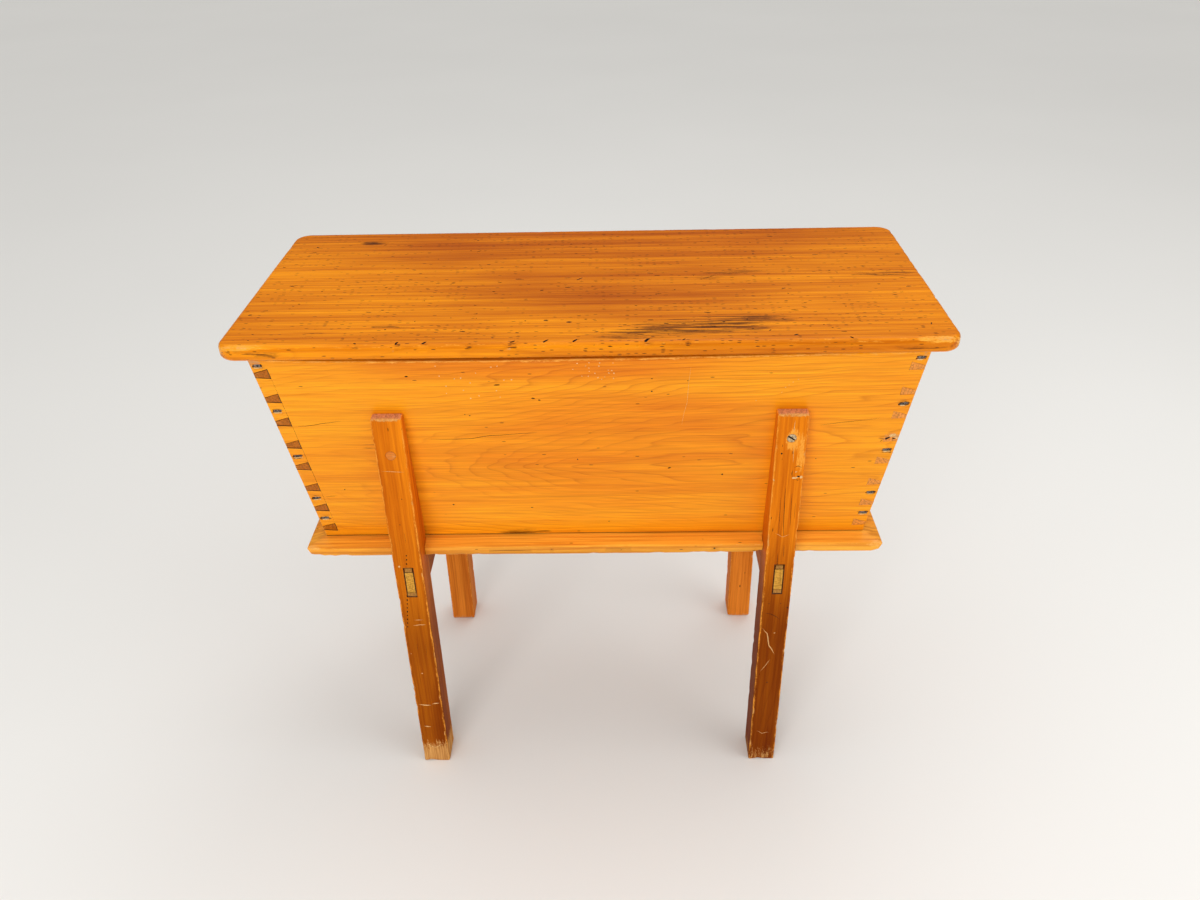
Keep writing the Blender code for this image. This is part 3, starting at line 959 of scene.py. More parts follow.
@dataclass
class WoodPiece:
    """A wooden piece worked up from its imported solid."""

    name: str
    finish: PineFinish
    slot: Slot
    body: Body = Body.BOX
    arrises: list[Arris] = field(default_factory=list)
    outlines: list[Arris] = field(default_factory=list)
    lips: list[Arris] = field(default_factory=list)
    face: Face | None = None
    marks: list[Mark] = field(default_factory=list)
    dents: list[Dent] = field(default_factory=list)
    patches: list[Patch] = field(default_factory=list)
    step: Triple = (0.008, 0.008, 0.008)
    ripple: float = 0.0002
    ripple_size: Triple = (0.11, 0.07, 0.07)
    nibble: float = 0.0005
    nibble_sizes: Spot = (0.013, 0.006)
    wear_reach: float = 0.003
    raw: Callable[[Array, Array], Array] | None = None
    seed: int = 1
    end_reach: float = 1.2e-4
    middle_reach: float = 5e-4
    least_bend: float = 0.3
    cut_reach: float = 1e-6

    def build(self) -> None:
        """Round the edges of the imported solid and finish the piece."""
        work = merged_copy(self.name)
        for edges, steps, index in (
            (self.outlines, 1, DARK.value), (self.lips, 1, PALE.value), (self.arrises, 3, -1),
        ):
            self.round_edges(work, edges, steps, index)
        self.finish_up(work)

    def finish_up(self, work: Solid) -> None:
        """Divide the faces, cut the marks, age the surface and mount the piece.

        Args:
            work: The solid, which is freed.
        """
        materials = [finish.material() for finish in (self.finish, GAP, CHIP)]
        made = as_object(f"{self.name}_wood", work, materials)
        self.divide(made)
        if self.marks:
            self.cut_marks(made, materials)
        self.age(made.data)
        shade(made.data)
        mount(made, self.body, [self.name])

    def round_edges(self, work: Solid, edges: Sequence[Arris], steps: int, index: int) -> None:
        """Round the edges that lie along arrises.

        Args:
            work: The solid.
            edges: The arrises.
            steps: Faces across a rounding.
            index: Material index of the new faces, or -1 for their neighbours'.
        """
        for radius in sorted({arris.radius for arris in edges}):
            group = [arris for arris in edges if arris.radius == radius]
            ends = [edge for edge in work.edges if edge.calc_length() > WELD]
            firsts, seconds = (np.array([edge.verts[end].co for edge in ends]) for end in (0, 1))
            middles = (firsts + seconds) / 2
            reaches = ((firsts, self.end_reach), (seconds, self.end_reach), (middles, self.middle_reach))
            chosen = np.all([
                np.min([arris.distance(points) for arris in group], axis=0) < reach
                for points, reach in reaches
            ], axis=0)
            found = [
                edge for edge, near in zip(ends, chosen)
                if near and edge.calc_face_angle(0.0) > self.least_bend
            ]
            if found:
                bmesh.ops.bevel(
                    work, geom=found, offset=radius, offset_type="OFFSET", segments=steps, profile=0.5,
                    affect="EDGES", clamp_overlap=False, material=index,
                )

    def divide(self, made: Thing) -> None:
        """Divide the faces on a grid, so that the surface can wave and carry wear.

        Args:
            made: The piece.
        """
        with opened(made.data) as work:
            places = np.array([vertex.co for vertex in work.verts])
            for axis, (low, high) in enumerate(zip(places.min(0), places.max(0))):
                count = max(1, round(float(high - low) / self.step[axis]))
                normal = Vector(np.eye(3)[axis])
                for cut in np.linspace(low, high, count + 1)[1:-1]:
                    every = [*work.verts, *work.edges, *work.faces]
                    bmesh.ops.bisect_plane(
                        work, geom=every, dist=self.cut_reach, plane_co=normal * float(cut), plane_no=normal,
                    )

    def cut_marks(self, made: Thing, materials: Sequence[Material]) -> None:
        """Cut cracks, holes and scratches into the piece.

        Args:
            made: The piece.
            materials: Its materials, which the cutter shares.
        """
        random = np.random.default_rng(self.seed)
        work = bmesh.new()
        for mark in self.marks:
            fill_loops(work, mark.loops(self.face, random), mark.inlay.value)
        bmesh.ops.recalc_face_normals(work, faces=work.faces)
        cutter = as_object(f"{self.name}_cutter", work, materials)
        modifier = made.modifiers.new("marks", "BOOLEAN")
        modifier.operation = "DIFFERENCE"
        modifier.solver = "EXACT"
        modifier.material_mode = "TRANSFER"
        modifier.use_self = True
        modifier.object = cutter
        settle(made)
        bpy.data.objects.remove(cutter, do_unlink=True)
        with opened(made.data) as work:
            many = [face for face in work.faces if len(face.verts) > 4]
            bmesh.ops.triangulate(work, faces=many, ngon_method="BEAUTY")

    def age(self, data: bpy.types.Mesh) -> None:
        """Wave the surface, nibble the arrises, push dents in and record the layers.

        Args:
            data: The piece's mesh.
        """
        points, normals = (read(data.vertices, name).astype(float) for name in ("co", "normal"))
        lattice = Lattice(self.seed)
        layers = {layer: np.zeros(len(points)) for layer in (SOIL, BARE, TONE, WEAR)}
        wear = layers[WEAR]
        for arris in self.arrises:
            wear = np.maximum(wear, arris.wear * np.exp(-(arris.distance(points) / self.wear_reach) ** 2))
        layers[WEAR] = wear
        coarse, fine = (lattice.at(points, size) for size in self.nibble_sizes)
        nibbled = np.clip(coarse + 0.55 * fine - 0.25, 0.0, 1.0)
        moved = points + normals * (self.ripple * lattice.at(points, self.ripple_size))[:, None]
        moved -= normals * (self.nibble * nibbled * wear)[:, None]
        for dent in self.dents:
            moved += dent.move(points)
        data.vertices.foreach_set("co", moved.astype(np.float32).ravel())
        data.update()
        for patch in self.patches:
            layers[patch.layer] = np.maximum(layers[patch.layer], patch.amount(points))
        for layer, values in layers.items():
            keep(data, layer, values)
        centres, ways = (read(data.polygons, name) for name in ("center", "normal"))
        keep(data, RAW, self.raw(centres, ways) if self.raw else np.zeros(len(ways)), "FACE")


def facing(way: Triple, limit: float = 0.75) -> Callable[[Array, Array], Array]:
    """A test for faces that look one way."""
    return lambda centres, ways: ways @ np.array(way) > limit


@dataclass(frozen=True)
class Place:
    """Where a repeated piece stands and how it is turned."""

    location: Vector
    turn: Triple


class NodeShape(Graph):
    """A Geometry Nodes tree with named inputs, run on a set of points."""

    def __init__(self, name: str, finish: Finish, sizes: dict[str, float]) -> None:
        """Start a tree with one input for each size.

        Args:
            name: The tree's name.
            finish: What the result is made of.
            sizes: The inputs' names and values.
        """
        super().__init__(bpy.data.node_groups.new(name, "GeometryNodeTree"))
        self.finish = finish
        face = self.tree.interface
        face.new_socket("Points", in_out="INPUT", socket_type="NodeSocketGeometry")
        self.values = {}
        for size, value in sizes.items():
            made = face.new_socket(size, in_out="INPUT", socket_type="NodeSocketFloat")
            self.values[made.identifier] = value
        face.new_socket("Shape", in_out="OUTPUT", socket_type="NodeSocketGeometry")
        self.inputs = self.add("NodeGroupInput").outputs

    def __getitem__(self, name: str) -> Socket:
        """The socket of a named size."""
        return self.inputs[name]

    def shape(self, kind: str, inputs: dict | None = None, **settings: object) -> Socket:
        """The first output of a new geometry node."""
        return self.add(f"GeometryNode{kind}", inputs, **settings).outputs[0]

    def raised(self, shape: Socket, rise: Value, turn: float = 0.0) -> Socket:
        """A shape moved up its own Z and turned about it."""
        inputs = {"Geometry": shape, "Translation": self.xyz(0.0, 0.0, rise), "Rotation": (0.0, 0.0, turn)}
        return self.shape("Transform", inputs)

    def reshaped(self, shape: Socket, *place: Value) -> Socket:
        """A shape with its points moved to new places."""
        return self.shape("SetPosition", {"Geometry": shape, "Position": self.xyz(*place)})

    def joined(self, *shapes: Socket) -> Socket:
        """Join shapes.

        Args:
            shapes: The shapes.

        Returns:
            All of them as one.
        """
        node = self.add("GeometryNodeJoinGeometry")
        for shape in shapes:
            self.tree.links.new(shape, node.inputs[0])
        return node.outputs[0]

    def welded(self, *shapes: Socket) -> Socket:
        """Several shapes as one, with the points that meet merged."""
        return self.shape("MergeByDistance", {"Geometry": self.joined(*shapes), "Distance": WELD})

    def battered(self, shape: Socket, size: str, scale: float, detail: float) -> Socket:
        """Knock a shape about.

        Args:
            shape: The instances.
            size: Name of the size that says how far.
            scale: Knocks to a metre.
            detail: Octaves of the noise.

        Returns:
            The battered shape.
        """
        inputs = {"Vector": self.shape("InputPosition"), "W": self["Seed"], "Scale": scale, "Detail": detail}
        noise = self.add("ShaderNodeTexNoise", inputs, noise_dimensions="4D").outputs["Color"]
        push = {0: self.vector("SUBTRACT", noise, NOISE_MIDDLE), "Scale": self[size]}
        push = self.add("ShaderNodeVectorMath", push, operation="SCALE").outputs[0]
        return self.shape("SetPosition", {
            "Geometry": self.shape("RealizeInstances", {0: shape}), "Offset": push,
        })

    def varied(self, low: Triple, high: Triple, seed: int) -> Socket:
        """A random vector for each point."""
        inputs = {"Min": low, "Max": high, "Seed": seed}
        return self.add("FunctionNodeRandomValue", inputs, data_type="FLOAT_VECTOR").outputs[0]

    def repeat(self, shape: Socket, roll: float = 0.0, smallest: float = 1.0) -> Socket:
        """Set a shape on each point, turned as the point says.

        Args:
            shape: The shape.
            roll: Most that a copy is rolled about its own Z, at random.
            smallest: Least length and width of a copy, at random, against the full size.

        Returns:
            The instances.
        """
        aim = self.shape("InputNamedAttribute", {"Name": "aim"}, data_type="FLOAT_VECTOR")
        turn = self.add("FunctionNodeEulerToRotation", {0: aim}).outputs[0]
        inputs = {"Points": self["Points"], "Instance": shape, "Rotation": turn}
        if roll or smallest < 1.0:
            rolled = {0: self.varied((0.0, 0.0, -roll), (0.0, 0.0, roll), 3)}
            turns = {
                "Rotation": turn, "Rotate By": self.add("FunctionNodeEulerToRotation", rolled).outputs[0],
            }
            inputs["Rotation"] = self.add(
                "FunctionNodeRotateRotation", turns, rotation_space="LOCAL",
            ).outputs[0]
            inputs["Scale"] = self.varied((smallest, smallest, 1.0), (1.0, 1.0, 1.0), 5)
        return self.shape("InstanceOnPoints", inputs)

    def close(self, shape: Socket, inlay: Finish | None = None) -> NodeShape:
        """End the tree in Realize Instances and Set Material.

        Args:
            shape: What the tree has made.
            inlay: Finish of the faces that carry the attribute "cut".

        Returns:
            The tree, ready to run.
        """
        inputs = {"Geometry": self.shape("RealizeInstances", {0: shape}), "Material": self.finish.material()}
        done = self.shape("SetMaterial", inputs)
        if inlay:
            cut = self.shape("InputNamedAttribute", {"Name": "cut"}, data_type="BOOLEAN")
            done = self.shape("SetMaterial", {
                "Geometry": done, "Selection": cut, "Material": inlay.material(),
            })
        self.add("NodeGroupOutput", {0: done})
        return self

    def run(self, name: str, places: Iterable[Place]) -> Thing:
        """Run the tree on a set of places.

        Args:
            name: The new object's name.
            places: The places.

        Returns:
            A plain mesh object.
        """
        data = bpy.data.meshes.new(name)
        spots, turns = zip(*((place.location, place.turn) for place in places))
        data.from_pydata(spots, [], [])
        aims = data.attributes.new("aim", "FLOAT_VECTOR", "POINT")
        aims.data.foreach_set("vector", np.array(turns, np.float32).ravel())
        made = bpy.data.objects.new(name, data)
        modifier = made.modifiers.new(name, "NODES")
        modifier.node_group = self.tree
        for key, value in self.values.items():
            modifier[key] = value
        bpy.context.scene.collection.objects.link(made)
        settle(made)
        self.drop_empty_slots(made.data)
        return made

    def set_out(
        self, name: str, places: dict[str, Place], slot: Slot, degrees: float, body: Body = Body.BOX,
    ) -> None:
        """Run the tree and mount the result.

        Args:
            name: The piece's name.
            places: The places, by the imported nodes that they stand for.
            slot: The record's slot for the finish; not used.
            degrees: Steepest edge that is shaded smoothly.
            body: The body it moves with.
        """
        made = self.run(name, places.values())
        shade(made.data, degrees)
        mount(made, body, places)

    @staticmethod
    def drop_empty_slots(data: bpy.types.Mesh) -> None:
        """Keep only the material slots that hold a material.

        Args:
            data: The mesh.
        """
        held = [index for index, material in enumerate(data.materials) if material]
        kept = [data.materials[index] for index in held]
        indices = [held.index(polygon.material_index) for polygon in data.polygons]
        data.materials.clear()
        for material in kept:
            data.materials.append(material)
        data.polygons.foreach_set("material_index", indices)


@dataclass(frozen=True)
class Sizes:
    """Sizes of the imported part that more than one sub-assembly reads."""

    fit: float = 0.0003
    rim_length: float = 0.854
    rim_depth: float = 0.388
    foot_length: float = 0.780
    foot_depth: float = 0.289
    height: float = 0.312
    board: float = 0.019
    foot: float = 0.4216
    leg_rise: float = 0.2255
    leg_width: float = 0.041
    leg_spacing: float = 0.528
    leg_inner: float = 0.1500
    leg_outer: float = 0.19708
    leg_top_depth: float = 0.0165

    @property
    def front_slope(self) -> float:
        """Outward run of the front board for each unit of rise."""
        return (self.rim_depth - self.foot_depth) / 2 / self.height

    @property
    def end_slope(self) -> float:
        """Outward run of an end board for each unit of rise."""
        return (self.rim_length - self.foot_length) / 2 / self.height

    @property
    def front_run(self) -> float:
        """Level thickness of the front board."""
        return self.board * math.hypot(1.0, self.front_slope)

    @property
    def end_run(self) -> float:
        """Level thickness of an end board."""
        return self.board * math.hypot(1.0, self.end_slope)

    @property
    def leg_top(self) -> float:
        """Level of the top of a leg."""
        return self.foot + self.leg_rise

    def front_face(self, rise: float) -> float:
        """Distance from the middle to the front board's outer face."""
        return self.foot_depth / 2 + self.front_slope * rise

    def end_face(self, rise: float) -> float:
        """Distance from the middle to an end board's outer face."""
        return self.foot_length / 2 + self.end_slope * rise

    def leg_middle(self, side: Side) -> float:
        """Middle of the legs on one side."""
        return side.sign * self.leg_spacing / 2

    def point(self, side_x: Side, side_y: Side, rise: float, inset: float = 0.0, sink: float = 0.0) -> Vector:
        """A point at a height above the foot, in from the end and from the face of a long board."""
        x, y = side_x.sign * (self.end_face(rise) - inset), side_y.sign * (self.front_face(rise) - sink)
        return Vector((x, y, self.foot + rise))


SIZES = Sizes()
UP = Vector((0.0, 0.0, 1.0))
TO_RIGHT = Vector((1.0, 0.0, 0.0))


@dataclass
class Box:
    """The flared box: two long boards with tails, two end boards with pins, and the nails at its corners."""

    pin_count: int = 8
    pin_narrow: float = 0.0054
    pin_wide: float = 0.0127
    pin_from_rim: float = 0.022
    pin_from_foot: float = 0.0175
    rim_hollow: float = 0.006
    hollow_steps: int = 12
    rim_round: float = 0.0022
    joint_line: float = 0.0009
    foot_line: float = 0.0011
    scribe_inset: float = 0.0011
    nail_length: float = 0.011
    nail_width: float = 0.0042
    nail_sink: float = 0.0008
    nail_thickness: float = 0.0015
    nail_shank: float = 0.0032
    nail_bite: float = 0.026
    front_pine: PineFinish = PineFinish(
        "box_pine_front", "faa016", "b04806", "ee820c", "b86a20", "fbb04c", deep="dc9468", pith=(0.02, 0.60),
        lean=(0.05, 0.012), ring=0.0046, curl=0.01, contrast=0.46, blotches=0.4, flecks=0.03, threads=0.95,
    )
    back_pine: PineFinish = PineFinish(
        "box_pine_back", "ee8e14", "b4560c", "d07012", "a05a1c", "f4a848",
        pith=(-0.05, 0.52), lean=(0.02, 0.04), flecks=0.12, rough=0.34,
    )
    left_pine: PineFinish = PineFinish(
        "box_pine_left", "f29214", "be5c08", "de760e", "c06a0c", "f8ac4a",
        grain=Grain.ALONG_Y, pith=(0.55, 0.50), lean=(0.05, 0.03), flecks=0.08, rough=0.32,
    )
    right_pine: PineFinish = PineFinish(
        "box_pine_right", "f69a18", "c6640a", "e47c0e", "f49a40", "faae4c",
        grain=Grain.ALONG_Y, pith=(-0.55, 0.62), lean=(-0.04, 0.05), flecks=0.08, rough=0.32,
    )

    def pins(self) -> list[tuple[Spot, Spot]]:
        """Lay out the pins.

        Returns:
            Narrow and wide limits of each pin above the foot, from the lowest up.
        """
        pitch = (SIZES.height - self.pin_from_rim - self.pin_from_foot) / (self.pin_count - 1)
        found = []
        for number in range(self.pin_count):
            wide = self.pin_from_foot + number * pitch
            ends = ((wide - SIZES.end_slope * SIZES.end_run, self.pin_narrow), (wide, self.pin_wide))
            found.append(tuple((middle - width / 2, middle + width / 2) for middle, width in ends))
        return found

    def tail_middle(self, tail: int) -> float:
        """Find a tail's middle.

        Args:
            tail: The tail's number, counted down from the rim.

        Returns:
            Its height above the foot.
        """
        down = self.pins()[::-1]
        low = (down[tail][0][1] + down[tail][1][1]) / 2
        if tail == 0:
            return (low + SIZES.height) / 2
        return (low + (down[tail - 1][0][0] + down[tail - 1][1][0]) / 2) / 2

    def nails_of(self, side_y: Side) -> dict[str, Place]:
        """Lay out the nails of a long board.

        Args:
            side_y: Front or back.

        Returns:
            Their places at each corner from the rim down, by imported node.
        """
        tails = [*range(0, self.pin_count - 1, 2), self.pin_count - 1]
        places = {}
        for side_x in END_SIDES:
            for number, tail in enumerate(tails, 1):
                spot = SIZES.point(side_x, side_y, self.tail_middle(tail), SIZES.end_run / 2, self.nail_sink)
                places[f"corner_nail_{side_y.word}_{side_x.word}_{number}"] = Place(spot, side_y.facing)
        return places

    def rim_points(self, side: Side, inset: float) -> list[Vector]:
        """Points along the rim of a long board, which use has worn hollow at the front.

        Args:
            side: Front or back.
            inset: Distance inward from the outer face.

        Returns:
            Points from the right to the left.
        """
        half = SIZES.end_face(SIZES.height)
        points = []
        for step in range(self.hollow_steps + 1):
            x = half * (1 - 2 * step / self.hollow_steps)
            rise = SIZES.height
            if side is Side.FRONT and 0 < step < self.hollow_steps:
                rise -= self.rim_hollow * math.sin(math.pi * ((x + half) / (2 * half)) ** 0.7)
            points.append(Vector((x, side.sign * (SIZES.front_face(rise) - inset), SIZES.foot + rise)))
        return points

    def corner(self, side_x: Side, side_y: Side) -> list[Arris]:
        """The sloping corner arris of the box."""
        ends = [SIZES.point(side_x, side_y, rise) for rise in (0.0, SIZES.height)]
        return polyline(ends, self.joint_line, 0.45)

    def socket_lines(self, side_y: Side) -> list[Arris]:
        """The left sockets' edges on the face of a long board, which show as dark lines.

        Args:
            side_y: Front or back.

        Returns:
            Three edges for each socket.
        """
        lines = []
        depth = SIZES.end_run + SIZES.fit
        for narrow, wide in self.pins():
            corners = (
                (narrow[0] - SIZES.fit, 0.0), (wide[0] - SIZES.fit, depth),
                (wide[1] + SIZES.fit, depth), (narrow[1] + SIZES.fit, 0.0),
            )
            points = [SIZES.point(Side.LEFT, side_y, rise, inset) for rise, inset in corners]
            lines += polyline(points, self.joint_line)
        return lines

    def hole_lips(self, side_y: Side) -> list[Arris]:
        """Lower edges of the nail holes of a long board, where the wood has chipped pale and a highlight is
        painted.

        Args:
            side_y: Front or back.

        Returns:
            One edge for each nail.
        """
        lips = []
        half = self.nail_length / 2 + SIZES.fit
        for place in self.nails_of(side_y).values():
            low = place.location.z - self.nail_width / 2 - SIZES.fit
            y = side_y.sign * SIZES.front_face(low - SIZES.foot)
            lips += polyline(straight((place.location.x, y, low), (half, 0.0, 0.0)), self.joint_line)
        return lips

    def front_marks(self) -> list[Mark]:
        """Cracks, nail holes, drips and scratches of the front board.

        Returns:
            The marks, from the middle and above the floor.
        """
        marks: list[Mark] = [
            Groove(((-389, 626), (-371, 627), (-350, 631), (-326, 634)), 0.7, 1.2),
            Groove(((-377, 499), (-358, 500.5)), 0.6, 0.9),
            Groove(((-219, 602), (-187, 601), (-157, 602), (-139, 606), (-98, 609), (-70, 611)), 0.7, 0.9),
            Groove(((300, 618), (329, 622), (363, 626), (386, 630)), 0.6, 1.0),
            Groove(((130, 719), (128, 686), (127, 658), (123, 636), (121, 617)), 0.5, 0.35, PALE, 0.15),
        ]
        for spot in ((248, 673), (252, 681), (256, 684), (261, 689), (267, 693), (216, 660)):
            marks.append(Pit(spot, 2.2, 0.9, 40, 0.5, PALE))
        marks += pits((
            (-231, 705, 4.0, 2.2, 8), (-117, 690, 8.0, 1.8, 4), (-72, 668, 5.0, 2.2, -8),
            (-64, 665, 3.6, 2.0, -10), (-157, 641, 2.2, 1.6, 0), (-163, 643, 1.6, 1.2, 0),
            (-197, 481, 2.4, 2.4, 0), (-346, 512, 1.8, 2.2, 0), (-18, 563, 1.4, 2.4, 0),
            (-86, 474, 3.4, 1.0, 0), (81, 677, 2.4, 2.4, 0), (107, 546, 5.0, 1.8, 22),
            (180, 533, 2.4, 2.4, 0), (81, 697, 2.8, 1.2, 0), (127, 693, 2.2, 1.2, 0),
            (102, 672, 4.4, 1.0, 0), (23, 445, 1.6, 2.0, 0), (305, 560, 1.8, 1.4, 0),
        ), 1.4)
        for place in self.nails_of(Side.FRONT).values():
            x, _, z = place.location / MM
            # At each nail: a pale chip below the hole that partly paints a highlight, and a dark hollow round
            # the head.
            marks += [Pit((x - 0.6, z - 1.7), 10.5, 4.2, 9, 0.5, PALE), Pit((x, z), 14.5, 5.4, 9, 1.1)]
        marks += self.broken_pin()
        drips = scatter(3, 17, (-192, 664), (-86, 722), 6.0) + scatter(4, 20, (-30, 696), (34, 724), 4.5)
        for number, spot in enumerate(drips):
            marks.append(Pit(
                spot, 1.5 + 0.35 * (number % 4), 1.3 + 0.3 * (number % 3), 35 * number, 0.4, PALE,
            ))
        inset = SIZES.end_run + self.scribe_inset
        rises = (0.006, 0.1, 0.2, 0.296)
        scribed = [((inset - SIZES.end_face(rise)) / MM, (SIZES.foot + rise) / MM) for rise in rises]
        return [*marks, Groove(scribed, 0.34, 0.5, DARK, 0.05)]

    @staticmethod
    def front_plane() -> Face:
        """The sloping front of the box, laid out from its middle and from the floor."""
        level = -SIZES.front_face(0.0) + SIZES.front_slope * SIZES.foot
        return Face(Vector((0.0, level, 0.0)), TO_RIGHT, Vector((0.0, -SIZES.front_slope, 1.0)))

    @staticmethod
    def broken_pin() -> list[Mark]:
        """Mark the torn end of the third pin on the right, which runs over both boards.

        Returns:
            The marks, on the plane of the front.
        """
        return [
            Pit((402, 599.5), 9.0, 5.4, 20, 1.2, PALE), Pit((408, 595), 7.0, 3.4, -15, 0.9, PALE),
            Pit((396, 594.5), 8.0, 3.4, 30, 1.0), Pit((404.5, 594), 5.0, 2.0, 0, 1.3),
            Pit((388, 590), 4.0, 1.2, 35, 0.5),
        ]

    def long_board(self, side: Side) -> WoodPiece:
        """Set up the front or the back board.

        Args:
            side: Front or back.

        Returns:
            The piece, ready to build.
        """
        rims = [self.rim_points(side, inset) for inset in (0.0, SIZES.front_run)]
        corners = [arris for side_x in END_SIDES for arris in self.corner(side_x, side)]
        foot = straight((0.0, side.sign * SIZES.front_face(0.0), SIZES.foot), (SIZES.end_face(0.0), 0.0, 0.0))
        board = WoodPiece(
            name=f"{side.word}_board", finish=self.back_pine, slot=Slot.BOX,
            arrises=(
                polyline(rims[0], self.rim_round, 0.75) + polyline(rims[1], self.rim_round, 0.6) + corners
            ),
            outlines=self.socket_lines(side) + polyline(foot, self.foot_line), lips=self.hole_lips(side),
            step=(0.009, 0.05, 0.009), ripple=0.00025, raw=facing((0.0, -side.sign, 0.0)), seed=12,
        )
        for place in self.nails_of(side).values():
            board.patches.append(Patch(SOIL, tuple(place.location / MM), (10, 8, 6), 0.42))
        if side is Side.FRONT:
            board.finish, board.seed, board.step = self.front_pine, 11, (0.006, 0.05, 0.006)
            board.face, board.marks = self.front_plane(), self.front_marks()
            board.patches += [
                Patch(SOIL, (-100, -146, 424), (46, 8, 7), 0.75),
                Patch(SOIL, (-295, -171, 591), (16, 12, 9), 0.35),
                # Painted shade: a shadow under the lid along the top of the board, and a darker middle where
                # less light falls.
                Patch(TONE, (-30, -190, 726), (310, 60, 55), 0.46),
                Patch(TONE, (0, -170, 590), (330, 90, 160), 0.36),
                Patch(BARE, (-420, -190, 729), (13, 12, 9), 0.8),
                Patch(BARE, (420, -190, 731), (8, 10, 6), 0.7),
                Patch(BARE, (403, -172, 596), (17, 10, 9), 0.75),
                Patch(SOIL, (394, -172, 593), (14, 9, 7), 0.45),
            ]
        return board

    def end_board(self, side: Side) -> WoodPiece:
        """Set up an end board.

        Args:
            side: Left or right.

        Returns:
            The piece, ready to build.
        """
        reach = SIZES.front_face(SIZES.height) - SIZES.front_run - SIZES.fit
        arrises = [arris for side_y in LONG_SIDES for arris in self.corner(side, side_y)]
        for inset in (0.0, SIZES.end_run):
            middle = (side.sign * (SIZES.end_face(SIZES.height) - inset), 0.0, SIZES.foot + SIZES.height)
            arrises += polyline(straight(middle, (0.0, reach, 0.0)), self.rim_round, 0.7)
        middle = (side.sign * SIZES.end_face(0.0), 0.0, SIZES.foot)
        foot = straight(middle, (0.0, SIZES.front_face(0.0), 0.0))
        board = WoodPiece(
            name=f"{side.word}_end_board", finish=self.left_pine, slot=Slot.BOX, arrises=arrises,
            outlines=polyline(foot, self.foot_line), step=(0.05, 0.008, 0.008), ripple=0.00025,
            raw=facing((-side.sign, 0.0, 0.0)), seed=13,
        )
        if side is Side.RIGHT:
            board.finish, board.seed = self.right_pine, 14
            board.face, board.marks = self.front_plane(), self.broken_pin()
        return board

    def nail(self) -> NodeShape:
        """Build the tree of a cut nail.

        Returns:
            The tree, ready to run.
        """
        nail = NodeShape("cut_nail", IRON, {
            "Head length": self.nail_length, "Head width": self.nail_width,
            "Head thickness": self.nail_thickness, "Shank": self.nail_shank,
            "Bite": self.nail_bite + SIZES.front_run, "Battered": 0.00045, "Seed": 4.0,
        })
        length, thickness, bite = nail["Head length"], nail["Head thickness"], nail["Bite"]
        block = nail.xyz(length, nail["Head width"], thickness)
        head = nail.shape("MeshCube", {"Size": block, "Vertices X": 7, "Vertices Y": 4, "Vertices Z": 2})
        x, y, z = nail.parts(nail.shape("InputPosition"))
        far = nail.math("DIVIDE", x, length)
        slim = nail.onto(1.0, nail.times(far, far), -2.4)
        head = nail.raised(nail.reshaped(head, x, nail.times(y, slim), z), nail.times(thickness, -0.5))
        shank = nail.shape("MeshCone", {
            "Vertices": 4, "Radius Top": nail.times(nail["Shank"], 0.7),
            "Radius Bottom": nail.times(nail["Shank"], 0.3), "Depth": bite,
        })
        down = nail.times(nail.plus(bite, nail.times(thickness, 0.9)), -1.0)
        whole = nail.joined(nail.raised(shank, down, math.pi / 4), head)
        return nail.close(nail.battered(nail.repeat(whole, 0.17, 0.88), "Battered", 420.0, 1.0))

    def build(self) -> NodeShape:
        """Build the boards and the nails.

        Returns:
            The tree of a nail, for the nails of the stand.
        """
        for side in LONG_SIDES:
            self.long_board(side).build()
        for side in END_SIDES:
            self.end_board(side).build()
        nail = self.nail()
        places = {node: place for side in LONG_SIDES for node, place in self.nails_of(side).items()}
        nail.set_out("corner_nails", places, Slot.NAIL, 40.0)
        return nail


@dataclass(frozen=True)
class Screw:
    """A slotted, countersunk screw."""

    name: str
    head: float
    shank: float
    length: float
    slot_width: float
    slot_depth: float
    rim: float = 0.0006
    sides: int = 40

    def tree(self) -> NodeShape:
        """Build the tree of the screw, with its head at the origin, facing +Z.

        Returns:
            The tree, ready to run.
        """
        screw = NodeShape(self.name, STEEL, {
            "Head": self.head, "Shank": self.shank, "Length": self.length,
            "Slot width": self.slot_width, "Slot depth": self.slot_depth, "Rim": self.rim,
        })
        head, shank = (screw.times(screw[size], 0.5) for size in ("Head", "Shank"))
        rim, length, taper = screw["Rim"], screw["Length"], screw.minus(head, shank)
        under = screw.plus(taper, rim)

        def turned(top: Value, bottom: Value, depth: Value, low: Value, open_ends: Sequence[str]) -> Socket:
            """Turn one length of the screw.

            Args:
                top: Radius at its top.
                bottom: Radius at its bottom.
                depth: Its length.
                low: Depth of its lower end below the top of the head.
                open_ends: Ends without a face, where it meets the next length.

            Returns:
                The length.
            """
            inputs = {"Vertices": self.sides, "Radius Top": top, "Radius Bottom": bottom, "Depth": depth}
            cone = screw.add("GeometryNodeMeshCone", inputs).outputs
            made = cone["Mesh"]
            for end in open_ends:
                inputs = {"Geometry": made, "Selection": cone[end]}
                made = screw.shape("DeleteGeometry", inputs, domain="FACE", mode="ONLY_FACE")
            return screw.raised(made, screw.times(low, -1.0))

        whole = screw.welded(
            turned(shank, screw.times(shank, 0.4), length, screw.plus(under, length), ("Top",)),
            turned(head, shank, taper, under, ("Top", "Bottom")),
            turned(screw.times(head, 0.93), head, rim, rim, ("Bottom",)),
        )
        blade = screw.xyz(
            screw.times(screw["Head"], 1.2), screw["Slot width"], screw.times(screw["Slot depth"], 2.0),
        )
        flag = {"Geometry": screw.shape("MeshCube", {"Size": blade}), "Name": "cut", "Value": True}
        slot = screw.shape("StoreNamedAttribute", flag, data_type="BOOLEAN", domain="FACE")
        cut = screw.shape("MeshBoolean", {0: whole, 1: slot}, operation="DIFFERENCE", solver="EXACT")
        return screw.close(screw.repeat(cut), GAP)


